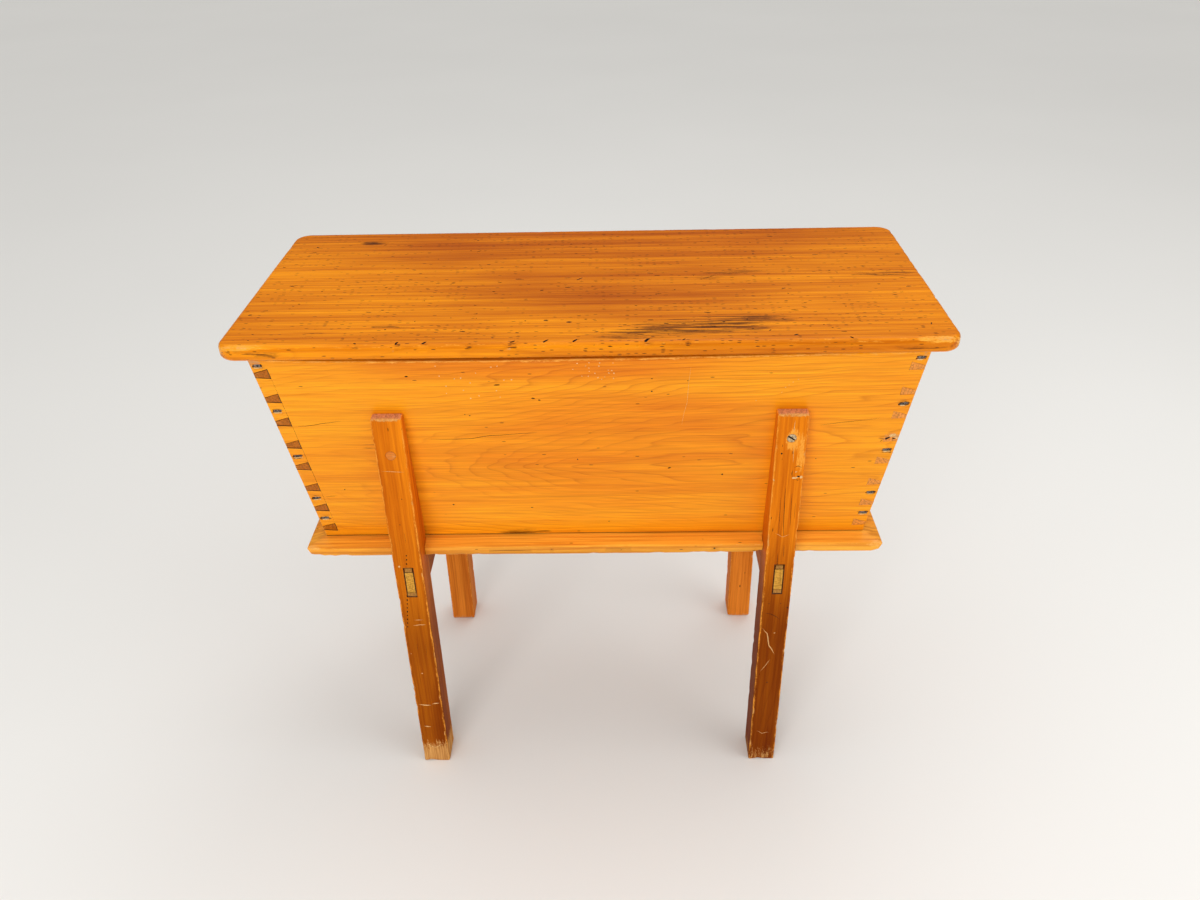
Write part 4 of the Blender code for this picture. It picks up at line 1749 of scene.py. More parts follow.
@dataclass
class Stand:
    """The bottom board, the four legs, and the bearers and wedges that tie the legs."""

    level: float = 0.4023
    bottom_thickness: float = 0.019
    bottom_projection: float = 0.024
    bottom_round: float = 0.0018
    bevel_drop: float = 0.0048
    leg_round: float = 0.0023
    bearer_level: float = 0.375
    bearer_height: float = 0.054
    bearer_thickness: float = 0.038
    bearer_round: float = 0.002
    tenon_thickness: float = 0.013
    tenon_height: float = 0.038
    tenon_line: float = 0.0007
    wedge_head: float = 0.007
    wedge_tip: float = 0.001
    screw: Screw = Screw("leg_screw", 0.0128, 0.006, 0.026, 0.0021, 0.0014)
    screw_drop: float = 0.036
    screw_sink: float = 0.0002
    screw_rolls: Spot = (70.0, -35.0)
    plug_drop: float = 0.056
    plug_diameter: float = 0.0135
    plug_length: float = 0.006
    plug_sides: int = 48
    plug_uneven: float = 0.006
    nail_spacing: float = 0.150
    nail_sink: float = 0.0008
    nail_reach: float = 0.013
    bottom_knocks: int = 46
    leg_knocks: int = 26
    sole_knocks: int = 14
    bottom_pine: PineFinish = PineFinish(
        "box_pine_bottom", "fdb03a", "d67616", "f4921e", "c27428", "fbb658", raw="a07a50",
        pith=(0.3, 0.2), lean=(0.02, 0.02), flecks=0.06, rough=0.34,
    )
    front_leg_pine: PineFinish = PineFinish(
        "leg_pine_front", "ea8212", "a04c06", "c66008", "e49a6c", "f4a03a", bare="eab268", deep="94807c",
        grain=Grain.ALONG_Z, pith=(-0.08, 0.0), lean=(0.03, 0.05), ring=0.0062, contrast=0.3, blotches=0.8,
        flecks=0.04, threads=0.86, rough=0.55, coat=0.0, shine=0.03,
    )
    # Lighter than the front legs' finish: painted light, so the back legs look lit though they stand under the
    # box.
    back_leg_pine: PineFinish = PineFinish(
        "leg_pine_back", "ee8a2e", "c4661a", "da7820", "e09a6a", "f09a40", bare="e4ae7c",
        grain=Grain.ALONG_Z, pith=(0.10, 0.06), lean=(0.02, 0.03), ring=0.0046, contrast=0.4, blotches=0.5,
        flecks=0.1, rough=0.55, coat=0.0, shine=0.03,
    )
    bearer_pine: PineFinish = PineFinish(
        "bearer_pine", "b8641e", "7d3c10", "985018", "dca040", "d98d3f",
        grain=Grain.ALONG_Y, pith=(0.2, 0.3), ring=0.004, rough=0.55, coat=0.0, shine=0.03,
    )

    @property
    def half_x(self) -> float:
        """Half the bottom board's length."""
        return SIZES.foot_length / 2 + self.bottom_projection

    @property
    def half_y(self) -> float:
        """Half the bottom board's depth."""
        return SIZES.foot_depth / 2 + self.bottom_projection

    @property
    def edge(self) -> float:
        """Level of the foot of the bottom board's bevel."""
        return self.level + self.bottom_thickness - self.bevel_drop

    def bottom_dents(self) -> list[Dent]:
        """Knock the bottom board's edges about.

        Returns:
            Dents along both long edges and at both front corners.
        """
        random = np.random.default_rng(5)
        half_x, half_y, level, edge = (
            size / MM for size in (self.half_x, self.half_y, self.level, self.edge)
        )
        dents = []
        for _ in range(self.bottom_knocks):
            x = float(random.uniform(-400, 400))
            y = -half_y if random.random() < 0.6 else half_y
            z, lift = (level, 0.7) if random.random() < 0.65 else (edge, -0.6)
            dents.append(Dent((x, y, z), float(random.uniform(5, 11)), (0.0, -math.copysign(0.8, y), lift)))
        for sign in BOTH:
            dents.append(Dent((sign * half_x, -half_y, level), 15.0, (-sign * 3.0, 2.4, 1.6)))
        return dents

    def bottom_board(self) -> WoodPiece:
        """Set up the bottom board.

        Returns:
            The piece, ready to build.
        """
        low, high = (
            square((0.0, 0.0, level), (self.half_x, 0.0, 0.0), (0.0, self.half_y, 0.0))
            for level in (self.level, self.edge)
        )
        arrises = polyline(low, self.bottom_round, 0.36) + polyline(high, self.bottom_round, 0.36)
        arrises += [Arris(below, above, self.bottom_round, 0.5) for below, above in zip(low[:4], high)]
        marks: list[Mark] = [
            Pit((174, 410), 2.6, 2.4, 0, 1.6), Pit((-60, 411), 1.6, 1.2), Pit((40, 409), 1.4, 1.4),
            Groove(((-150, 409), (-120, 409.6), (-92, 409)), 0.5, 0.6),
            Groove(((20, 412), (52, 411.6)), 0.4, 0.5),
        ]
        patches = [
            Patch(BARE, (-408, -168, 412), (9, 8, 9), 0.4), Patch(BARE, (408, -168, 414), (7, 7, 6), 0.3),
            # Painted shade: the tone patch darkens the front edge of the board.
            Patch(BARE, (326, -168, 412), (16, 5, 5), 0.45), Patch(TONE, (0, -169, 408), (560, 3, 8), 0.4),
        ]
        for sign in BOTH:
            patches.append(Patch(WEAR, (sign * 408, -168, 415), (22, 14, 9), 0.6))
            # Painted shade where the front legs meet the bottom board.
            patches.append(Patch(SOIL, (sign * 264, -160, 420), (30, 18, 7), 0.4))
        inside_x, inside_y = (size / 2 - 0.018 for size in (SIZES.foot_length, SIZES.foot_depth))

        def unfinished(centres: Array, ways: Array) -> Array:
            """Faces inside the box and underneath."""
            inside = (np.abs(centres[:, 0]) < inside_x) & (np.abs(centres[:, 1]) < inside_y)
            return (ways[:, 2] < -0.8) | (inside & (ways[:, 2] > 0.8))

        return WoodPiece(
            name="bottom_board", finish=self.bottom_pine, slot=Slot.BOX, arrises=arrises,
            face=Face(Vector((0.0, -self.half_y, 0.0)), TO_RIGHT, UP), marks=marks, dents=self.bottom_dents(),
            patches=patches, step=(0.008, 0.008, 0.02), ripple=0.0004, raw=unfinished, seed=21,
        )

    def leg_arrises(self, side_x: Side, side_y: Side) -> list[Arris]:
        """Edges of a leg.

        Args:
            side_x: Left or right.
            side_y: Front or back.

        Returns:
            Its upright edges and those of its top and sole.
        """
        seat = SIZES.foot + (SIZES.leg_inner - SIZES.foot_depth / 2 - SIZES.fit) / SIZES.front_slope
        profile = (
            (SIZES.leg_outer, 0.0), (SIZES.leg_inner, 0.0), (SIZES.leg_inner, seat),
            (SIZES.leg_outer - SIZES.leg_top_depth, SIZES.leg_top), (SIZES.leg_outer, SIZES.leg_top),
        )
        faces = [SIZES.leg_middle(side_x) + sign * SIZES.leg_width / 2 for sign in BOTH]
        left, right = ([Vector((x, side_y.sign * out, z)) for out, z in profile] for x in faces)
        found = [
            arris for loop in (left, right) for arris in polyline([*loop, loop[0]], self.leg_round, 0.72)
        ]
        return found + [Arris(left[corner], right[corner], self.leg_round, 0.62) for corner in (0, 1, 3, 4)]

    def joint_lines(self, side_x: Side, side_y: Side, half: float, rise: float) -> list[Arris]:
        """Edges of a mortise or a tenon on the outer face of a leg, which show as a dark line."""
        middle = (SIZES.leg_middle(side_x), side_y.sign * SIZES.leg_outer, self.bearer_level)
        return polyline(square(middle, (half, 0.0, 0.0), (0.0, 0.0, rise)), self.tenon_line)

    @staticmethod
    def left_marks() -> list[Mark]:
        """Mark the front left leg with a row of tiny holes, scratches and dents.

        Returns:
            The marks.
        """
        holes = [number for number in range(19) if number not in (3, 4, 5)]
        return [
            *(
                Pit((-263.5 - 0.8 * hole, 424 - 7.4 * hole), 2.2, 2.6 + 0.5 * (hole % 3), 0, 2.0)
                for hole in holes
            ),
            Pit((-276.3, 404.5), 3.4, 3.8, 0, 0.7, PALE), Pit((-258, 521), 1.6, 1.3),
            Pit((-266, 478), 1.2, 1.8),
            Groove(((-280.5, 567.2), (-268, 566), (-249, 565)), 0.6, 0.4, PALE, 0.2),
            Groove(((-267.3, 303.6), (-253, 304.4)), 1.2, 0.6, PALE),
            Pit((-279, 237), 2.2, 1.4, 0, 0.6, PALE),
            Groove(((-270.5, 293.1), (-260, 294.6), (-249.4, 294.7)), 1.2, 0.6, PALE),
            Groove(((-281, 129.4), (-272, 127.6), (-261, 127.2)), 2.3, 0.7, PALE, 0.5),
            Groove(((-259, 130), (-247, 131.8)), 2.2, 0.7, PALE, 0.5),
            Groove(((-277, 80.8), (-266, 79)), 2.2, 0.7, PALE), Pit((-267, 196), 2.4, 1.8, 0, 0.5, PALE),
            Groove(((-279, 41), (-264.3, 31.1), (-250, 41)), 0.9, 0.5, PALE, 0.6),
            Groove(((-250, 212), (-247.2, 213)), 1.2, 1.0), Groove(((-262, 470), (-261.5, 440)), 0.5, 0.5),
            Groove(((-255, 260), (-256, 228)), 0.5, 0.5), Groove(((-268, 262), (-268.5, 240)), 0.5, 0.5),
        ]

    @staticmethod
    def right_marks() -> list[Mark]:
        """Mark the front right leg with a let-in patch, long checks and a deep scratch.

        Returns:
            The marks.
        """
        return [
            Groove(((266, 640), (265.4, 618)), 0.9, 0.5, PALE, 0.1),
            Groove(((266.4, 602), (268, 586), (268.9, 571)), 0.7, 0.5, PALE, 0.1),
            Pit((252.4, 587.8), 2.6, 3.2, 0, 1.2), Pit((244.5, 546), 3.0, 4.6, 0, 0.9, PALE),
            Groove(((269.6, 565), (276, 568.4), (282.4, 565)), 1.2, 1.2),
            Groove(((269, 563), (268.2, 556), (269.4, 549)), 1.1, 1.2),
            Groove(((282.8, 562), (283, 553)), 1.0, 1.1),
            Groove(((271, 547), (277, 545.6), (281, 547)), 1.0, 1.0),
            Pit((273, 549.4), 8.0, 3.0, 8, 0.9, PALE), Pit((281.4, 550.6), 4.6, 4.6, 0, 0.9, PALE),
            Pit((277.6, 551.6), 4.4, 2.8, -10, 1.3), Pit((274, 559), 3.0, 1.6, 30, 0.6, PALE),
            Groove(((262, 536), (262.6, 505), (264, 470), (266, 446)), 0.9, 1.0),
            Groove(((271, 530), (272, 500), (273.5, 462)), 0.7, 0.8),
            Groove(((256.5, 520), (257.4, 480), (258.4, 452)), 0.6, 0.8),
            Groove(((277.4, 512), (278, 478)), 0.5, 0.7), Groove(((267.6, 440), (268.4, 412)), 0.6, 0.7),
            Groove(((259.6, 425), (260, 396), (259.8, 352)), 0.9, 1.0),
            Groove(((252, 458), (264, 451), (276, 456)), 0.7, 0.5, PALE, 0.3),
            Groove(((247.5, 312.4), (259.1, 309.7), (271.5, 300.5)), 0.8, 0.7, DARK, 0.6),
            Groove(
                ((247.6, 282.4), (254.9, 271.8), (257.2, 258.5), (259.6, 247.7), (268.8, 231.3)),
                1.6, 0.8, PALE, 0.7,
            ),
            Groove(((249.2, 194.2), (256.4, 206.7), (263.6, 220.4)), 0.8, 0.5, PALE, 0.4),
            Pit((266, 273), 2.6, 1.4, 10, 0.5, PALE), Pit((262, 172), 2.4, 2.0, 0, 0.5),
            Pit((271, 330), 1.6, 1.4), Pit((254, 330), 1.8, 1.4), Pit((281, 322), 2.0, 3.0),
            Groove(((252, 66), (262, 60), (274, 64)), 0.8, 0.5, PALE, 0.6),
        ]

    def knock(self, leg: WoodPiece, side_x: Side, side_y: Side, centre: float) -> None:
        """Knock a leg's edges and its sole about.

        Args:
            leg: The leg.
            side_x: Left or right.
            side_y: Front or back.
            centre: Its middle from front to back.
        """
        random = np.random.default_rng(40 + side_x.value + 7 * side_y.value)
        middle = SIZES.leg_middle(side_x) / MM
        outer, inner = (side_y.sign * size / MM for size in (SIZES.leg_outer, SIZES.leg_inner))
        for _ in range(self.leg_knocks):
            sign = math.copysign(1.0, random.uniform(-1, 1))
            x = middle + sign * SIZES.leg_width / 2 / MM
            y = outer if random.random() < 0.75 else inner
            z = float(random.uniform(10, 640))
            leg.dents.append(Dent((x, y, z), float(random.uniform(4, 9)), (-sign, -side_y.sign * 0.7, 0.0)))
            if random.random() < 0.5:
                leg.patches.append(Patch(BARE, (x, y, z), (4, 4, float(random.uniform(5, 14))), 0.6))
        for _ in range(self.sole_knocks):
            spot = (middle + float(random.uniform(-22, 22)), centre + float(random.uniform(-24, 24)), 0.0)
            radius, lift = float(random.uniform(5, 9)), float(random.uniform(0.8, 2.0))
            leg.dents.append(Dent(spot, radius, (0.0, 0.0, lift)))

    def leg(self, side_x: Side, side_y: Side) -> WoodPiece:
        """Set up a leg.

        Args:
            side_x: Left or right.
            side_y: Front or back.

        Returns:
            The piece, ready to build.
        """
        middle, out = SIZES.leg_middle(side_x) / MM, side_y.sign * SIZES.leg_outer / MM
        centre = side_y.sign * (SIZES.leg_outer + SIZES.leg_inner) / 2 / MM
        leg = WoodPiece(
            name=f"leg_{side_y.word}_{side_x.word}", finish=self.back_leg_pine, slot=Slot.LEG,
            arrises=self.leg_arrises(side_x, side_y), outlines=self.joint_lines(
                side_x, side_y, self.tenon_thickness / 2 + SIZES.fit,
                self.tenon_height / 2 + self.wedge_head + 2 * SIZES.fit,
            ),
            step=(0.005, 0.006, 0.005), ripple=0.0003, ripple_size=(0.05, 0.05, 0.12), nibble=0.0009,
            seed=31 + side_x.value + 5 * side_y.value,
        )
        # How far a tone patch makes each leg darker towards the bottom.
        worn_foot, bare, foot_darkening = 15.0, 0.6, 0.1
        if side_y is Side.FRONT:
            leg.finish = self.front_leg_pine
            leg.face = Face(Vector((0.0, side_y.sign * SIZES.leg_outer, 0.0)), TO_RIGHT, UP)
            worn_foot, bare, foot_darkening = (66.0, 0.9, 0.7) if side_x is Side.LEFT else (44.0, 0.5, 0.9)
            leg.marks = self.left_marks() if side_x is Side.LEFT else self.right_marks()
            if side_x is Side.RIGHT:
                # Pale patches at the top of this leg: partly worn finish, partly a painted highlight.
                leg.patches += [
                    Patch(WEAR, (middle + 2, out, 608), (14, 6, 24), 0.8),
                    Patch(WEAR, (middle + 14, out, 585), (7, 6, 46), 0.75),
                ]
        leg.patches += [
            Patch(BARE, (middle, centre, -4), (90, 90, worn_foot), bare),
            Patch(BARE, (middle, out, SIZES.leg_top / MM), (30, 5, 5), 0.75),
            Patch(TONE, (middle, centre, 70), (300, 300, 430), foot_darkening),
        ]
        self.knock(leg, side_x, side_y, centre)
        return leg

    def bearer(self, side: Side) -> WoodPiece:
        """Set up a bearer.

        Args:
            side: Left or right.

        Returns:
            The piece, ready to build.
        """
        arrises = []
        for x, z in ROUND[:4]:
            middle = (
                SIZES.leg_middle(side) + x * self.bearer_thickness / 2, 0.0,
                self.bearer_level + z * self.bearer_height / 2,
            )
            ends = straight(middle, (0.0, SIZES.leg_inner - SIZES.fit, 0.0))
            arrises += polyline(ends, self.bearer_round, 0.6)
        lines = []
        for side_y in LONG_SIDES:
            lines += self.joint_lines(side, side_y, self.tenon_thickness / 2, self.tenon_height / 2)
        return WoodPiece(
            name=f"bearer_{side.word}", finish=self.bearer_pine, slot=Slot.LEG, arrises=arrises,
            outlines=lines, seed=51 if side is Side.LEFT else 52,
        )

    def wedge(self) -> NodeShape:
        """Build the tree of a wedge, thin at its tip and thick at its head.

        Returns:
            The tree, ready to run.
        """
        wedge = NodeShape("tenon_wedge", WEDGE_PINE, {
            "Width": self.tenon_thickness, "Head": self.wedge_head, "Tip": self.wedge_tip,
            "Depth": SIZES.leg_outer - SIZES.leg_inner, "Crushed": 0.0005, "Seed": 2.0,
        })
        counts = {"Vertices X": 6, "Vertices Y": 4, "Vertices Z": 6}
        block = wedge.shape("MeshCube", {"Size": (1.0, 1.0, 1.0), **counts})
        x, y, z = wedge.parts(wedge.shape("InputPosition"))
        thick = wedge.onto(wedge["Tip"], wedge.minus(wedge["Head"], wedge["Tip"]), wedge.plus(z, 0.5))
        block = wedge.reshaped(
            block, wedge.times(x, wedge["Width"]), wedge.times(wedge.plus(y, 0.5), thick),
            wedge.times(z, wedge["Depth"]),
        )
        return wedge.close(wedge.battered(wedge.repeat(block, 0.0, 0.74), "Crushed", 260.0, 2.0))

    def wedge_places(self) -> dict[str, Place]:
        """Lay out the wedges.

        Returns:
            Their places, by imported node.
        """
        places = {}
        middle = (SIZES.leg_inner + SIZES.leg_outer) / 2
        root = self.tenon_height / 2 + SIZES.fit
        for side_x, side_y in CORNERS:
            for level, sign, roll in (("upper", 1.0, 0.0), ("lower", -1.0, math.pi)):
                spot = (SIZES.leg_middle(side_x), side_y.sign * middle, self.bearer_level + sign * root)
                node = f"wedge_{side_y.word}_{side_x.word}_{level}"
                places[node] = Place(Vector(spot), side_y.rolled(roll))
        return places

    def plug(self) -> None:
        """Turn the wooden plug over the front left screw, and mount it."""
        profile = (
            (1.0, 0.0056), (1.0, 0.0003), (0.97, 0.0), (0.8, -0.00015), (0.4, -0.0003), (0.06, -0.0003),
        )
        middle, level = SIZES.leg_middle(Side.LEFT), SIZES.leg_top - self.plug_drop
        angles = [2 * math.pi * number / self.plug_sides for number in range(self.plug_sides)]
        random = np.random.default_rng(8)
        uneven = random.uniform(-self.plug_uneven, self.plug_uneven, (len(profile), self.plug_sides))
        loops = []
        for (share, sink), rough in zip(profile, uneven):
            reach = self.plug_diameter / 2 * share * (1.0 + rough)
            loops.append([
                Vector((
                    middle + far * math.cos(angle), sink - SIZES.leg_outer, level + far * math.sin(angle),
                ))
                for far, angle in zip(reach, angles)
            ])
        work = bmesh.new()
        fill_loops(work, loops)
        bmesh.ops.recalc_face_normals(work, faces=work.faces)
        made = as_object("leg_plug", work, (PLUG_PINE.material(),))
        shade(made.data)
        shown = np.array([abs(vertex.co.y + SIZES.leg_outer) < 0.0004 for vertex in made.data.vertices])
        for layer in (WEAR, BARE):
            keep(made.data, layer, 0.3 * shown)
        mount(made, Body.BOX, ["leg_plug_front_left"])

    def screw_places(self) -> dict[str, Place]:
        """Lay out the screws at the tops of the legs, one of them under the plug.

        Returns:
            Their places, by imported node.
        """
        places = {}
        for side_x, side_y in CORNERS:
            drop, sink = self.screw_drop, self.screw_sink
            if (side_x, side_y) == (Side.LEFT, Side.FRONT):
                drop, sink = self.plug_drop, self.plug_length
            spot = (SIZES.leg_middle(side_x), side_y.sign * (SIZES.leg_outer - sink), SIZES.leg_top - drop)
            turn = side_y.rolled(math.radians(self.screw_rolls[END_SIDES.index(side_x)]))
            places[f"leg_screw_{side_y.word}_{side_x.word}"] = Place(Vector(spot), turn)
        return places

    def nail_places(self) -> dict[str, Place]:
        """Lay out the nails that come up through the bottom board.

        Returns:
            Their places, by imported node.
        """
        down, level = (math.pi, 0.0, 0.0), self.level + self.nail_sink
        long_out = SIZES.front_face(self.nail_reach) - SIZES.front_run / 2
        end_out = SIZES.end_face(self.nail_reach) - SIZES.end_run / 2
        places = {}
        for side in LONG_SIDES:
            for number in (-1, 0, 1):
                spot = Vector((number * self.nail_spacing, side.sign * long_out, level))
                places[f"bottom_nail_{side.word}_board_{number + 2}"] = Place(spot, down)
        for side in END_SIDES:
            spot = Vector((side.sign * end_out, 0.0, level))
            places[f"bottom_nail_{side.word}_end_board_1"] = Place(spot, down)
        return places

    def build(self, nail: NodeShape) -> None:
        """Build the stand and its fixings.

        Args:
            nail: The tree of a nail.
        """
        self.bottom_board().build()
        for side_x in END_SIDES:
            for side_y in LONG_SIDES:
                self.leg(side_x, side_y).build()
            self.bearer(side_x).build()
        self.wedge().set_out("tenon_wedges", self.wedge_places(), Slot.WEDGE, 50.0)
        self.plug()
        self.screw.tree().set_out("leg_screws", self.screw_places(), Slot.SCREW, 30.0)
        nail.set_out("bottom_nails", self.nail_places(), Slot.NAIL, 40.0)


@dataclass
class Lid:
    """The loose lid: one board with a rounded edge, and two battens under it."""

    length: float = 0.928
    depth: float = 0.404
    thickness: float = 0.021
    corner: float = 0.024
    corner_steps: int = 14
    edge: float = 0.007
    edge_points: int = 18
    worn_share: float = 0.35
    level: float = 0.7339
    batten_round: float = 0.0025
    screw: Screw = Screw("batten_screw", 0.008, 0.0042, 0.024, 0.0012, 0.001)
    screw_spacing: float = 0.220
    screw_sink: float = 0.0003
    knocks: int = 30
    nicks: int = 120
    pine: PineFinish = PineFinish(
        "lid_pine", "f8960e", "a85004", "c86606", "a8621e", "fbae40", raw="c0935c", deep="c08c68",
        soil="4a1c06", pith=(0.30, 0.62), ring=0.0085, contrast=0.4, blotches=0.6, flecks=1.0, threads=0.84,
        rough=0.32, coat=0.03, shine=0.1,
    )
    batten_pine: PineFinish = PineFinish(
        "batten_pine", "c78a4a", "95602c", "ad7338", "9c6a38", "d9a566",
        grain=Grain.ALONG_Y, pith=(0.3, 0.4), flecks=0.2, rough=0.5, coat=0.0,
    )

    def blank(self) -> Thing:
        """Sweep the rounded edge round the lid and fill its two faces.

        Returns:
            The blank as a plain mesh object.
        """
        lid = NodeShape("rounded_board", self.pine, {
            "Length": self.length, "Depth": self.depth, "Thickness": self.thickness, "Corner": self.corner,
            "Edge": self.edge,
        })
        edge = lid["Edge"]
        twice = lid.times(edge, 2.0)
        sides = {"Width": lid.minus(lid["Length"], twice), "Height": lid.minus(lid["Depth"], twice)}
        path = lid.shape("FilletCurve", {
            "Curve": lid.shape("CurvePrimitiveQuadrilateral", sides), "Count": self.corner_steps,
            "Radius": lid.minus(lid["Corner"], edge),
        }, mode="POLY")
        row = lid.shape("MeshLine", {"Count": self.edge_points}, mode="OFFSET")
        number = lid.shape("InputIndex")
        upper = lid.math("GREATER_THAN", number, self.edge_points / 2 - 0.5)
        share = lid.math("DIVIDE", lid.minus(number, upper), self.edge_points - 2)
        angle = lid.onto(-math.pi / 2, share, math.pi)
        bend = lid.times(edge, lid.math("COSINE", angle))
        rise = lid.onto(edge, edge, lid.math("SINE", angle))
        rise = lid.onto(rise, upper, lid.minus(lid["Thickness"], twice))
        profile = lid.shape("MeshToCurve", {0: lid.reshaped(row, bend, lid.times(rise, -1.0))})
        rim = lid.shape("CurveToMesh", {"Curve": path, "Profile Curve": profile})
        fill = lid.shape("FillCurve", {"Curve": path}, mode="NGONS")
        whole = lid.welded(rim, fill, lid.raised(fill, lid["Thickness"]))
        return lid.close(lid.repeat(whole)).run("lid_blank", [Place(UP * self.level, (0.0, 0.0, 0.0))])

    def top_marks(self) -> list[Mark]:
        """Nicks, knots and checks of the lid's upper face.

        Returns:
            The marks, from its middle.
        """
        sizes = np.random.default_rng(17).random((self.nicks, 3)) ** (2.2, 1.6, 1.0)
        spots = scatter(7, self.nicks, (-452, -184), (452, 182), 6.0, 1.4)
        marks: list[Mark] = [
            Pit(spot, 2.0 + 9.0 * long, 1.1 + 1.3 * short, 30 * turn - 15, 0.9)
            for spot, (long, short, turn) in zip(spots, sizes)
        ]
        marks += pits((
            (-417, 141, 7, 2.4, -40), (-168, 116, 10, 1.4, 45), (-14, 3, 12, 2.2, 48), (-100, 5, 9, 1.8, 0),
            (-446, -105, 6, 2.6, 15), (-24, -140, 7, 3.6, -10), (-158, -164, 8, 2.4, -15),
            (81, -137, 8, 2.0, 0), (229, -172, 5, 1.4, 55), (259, -186, 7, 3.0, 20),
            (433, -158, 1.4, 7, -20), (12, -170, 6, 2.0, 10),
        ), 0.8)
        marks += pits((
            (-288, -195, 6, 2.4, -30), (-236, -195, 7, 2.8, 60), (-202, -195, 8, 3.2, 40),
            (-92, -195, 8, 3.0, 30), (-51, -195, 12, 3.6, 48), (-15, -195, 11, 3.8, 52),
            (74, -195, 12, 4.2, 50), (120, -195, 6, 2.6, 35), (326, -195, 6, 2.4, -40),
        ), 2.2)
        return marks + [
            Pit((-335, 158), 13, 3.6, 0, 1.0), Groove(((-352, 159), (-347, 159.4)), 0.9, 0.7),
            Groove(((154, -4), (166, 2), (178, 12)), 1.0, 0.8),
            Groove(((184, 13), (204, 17), (236, 20)), 0.8, 0.8),
            Groove(((186, 22), (210, 24), (250, 24)), 0.6, 0.7),
            Groove(((366, 16), (384, 11), (400, 8)), 0.7, 0.8),
            Groove(((386, 4), (404, 1), (430, 3), (455, 7)), 0.8, 0.8),
            Groove(((-40, 30), (-10, 27), (60, 26), (130, 24)), 0.5, 0.6),
            Groove(((-366, -176), (-350, -174), (-340, -178)), 0.4, 0.4),
            Groove(((-250, -152), (-236, -150)), 0.6, 0.5),
            Groove(((60, -176), (92, -174), (140, -175)), 0.5, 0.6),
            Groove(((110, -160), (150, -158), (190, -159)), 0.5, 0.6),
        ]

    def knock(self, board: WoodPiece) -> None:
        """Knock the lid's edges about, most of all the front one.

        Args:
            board: The lid's board.
        """
        half_x, half_y = self.length / 2 / MM, self.depth / 2 / MM
        front_knocks = (
            (-358, 5, 1.2), (-288, 6, 1.3), (-236, 7, 2.0), (-202, 9, 1.8), (-146, 6, 1.4), (-93, 11, 1.5),
            (-20, 5, 0.9), (74, 10, 1.9), (123, 6, 1.2), (287, 5, 1.0), (326, 9, 1.0),
        )
        for number, (x, radius, deep) in enumerate(front_knocks):
            board.dents.append(Dent((x, -half_y + 2, 752), radius, (0.0, deep * 0.7, -deep * 0.8)))
            soil = Patch(SOIL, (x + 1, -half_y + 3, 752), (radius * 0.6, 6, 5), 0.3 + 0.15 * (number % 3))
            board.patches.append(soil)
            if number % 3 == 2:
                board.patches.append(Patch(BARE, (x - 3, -half_y + 1, 748), (radius * 0.6, 5, 5), 0.4))
        random = np.random.default_rng(9)
        for _ in range(self.knocks):
            if random.random() < 0.35:
                x = math.copysign(half_x - 1, random.uniform(-1, 1))
                y, push = float(random.uniform(-180, 180)), (-math.copysign(0.8, x), 0.0, -0.6)
            else:
                x, y, push = float(random.uniform(-440, 440)), half_y - 1, (0.0, -0.8, -0.6)
            board.dents.append(Dent((x, y, 752), float(random.uniform(4, 9)), push))

    def soil(self, board: WoodPiece) -> None:
        """Wear the lid's front corners with painted highlights on them, stain its top, and paint shade over its
        back half and middle.

        Args:
            board: The lid's board.
        """
        front = -self.depth / 2 / MM
        for sign in BOTH:
            board.patches += [
                # The wear patches at each front corner are partly worn finish and partly a painted highlight on
                # the top arris and the corner.
                Patch(WEAR, (sign * 434, front + 4, 752), (50, 8, 6), 0.7),
                Patch(BARE, (sign * 440, front + 3, 753), (36, 5, 4), 0.5),
                Patch(SOIL, (sign * 420, front, 744), (52, 9, 8), 0.36),
                Patch(WEAR, (sign * 458, front + 14, 746), (12, 14, 9), 0.8),
            ]
        for x, y, long, wide, strength in (
            (150, -160, 108, 30, 0.8), (196, -138, 80, 18, 0.75), (80, -178, 90, 17, 0.7),
            (205, 18, 56, 12, 0.6), (165, 2, 26, 9, 0.6), (415, 5, 55, 11, 0.55), (-335, 158, 24, 9, 0.95),
            (-247, -150, 36, 9, 0.5), (-346, -166, 28, 8, 0.3),
        ):
            board.patches.append(Patch(SOIL, (x, y, 755), (long, wide, 6), strength))
        # Painted shade: the top is darker over its back half and its middle.
        board.patches += [
            Patch(TONE, (0, 200, 755), (640, 230, 60), 0.55), Patch(TONE, (30, 0, 755), (300, 170, 60), 0.5),
        ]

    def board(self) -> None:
        """Build the lid's board."""
        blank = self.blank()
        work = bmesh.new()
        work.from_mesh(blank.data)
        bpy.data.objects.remove(blank, do_unlink=True)
        bmesh.ops.remove_doubles(work, verts=work.verts, dist=WELD)
        bmesh.ops.recalc_face_normals(work, faces=work.faces)
        top = self.level + self.thickness
        inset = self.edge * self.worn_share
        half_x, half_y = self.length / 2 - inset, self.depth / 2 - inset
        ring = square((0.0, 0.0, top - inset), (half_x, 0.0, 0.0), (0.0, half_y, 0.0))
        board = WoodPiece(
            name="lid_board", finish=self.pine, slot=Slot.LID, body=Body.LID,
            arrises=polyline(ring[:2], 0.0, 0.34) + polyline(ring[1:], 0.0, 0.3),
            face=Face(UP * top, TO_RIGHT, Vector((0.0, 1.0, 0.0))), marks=self.top_marks(),
            step=(0.005, 0.0055, 0.03), ripple=0.0003, ripple_size=(0.16, 0.09, 0.09), wear_reach=0.006,
            raw=facing((0.0, 0.0, -1.0), 0.9), seed=61,
        )
        self.knock(board)
        self.soil(board)
        board.finish_up(work)

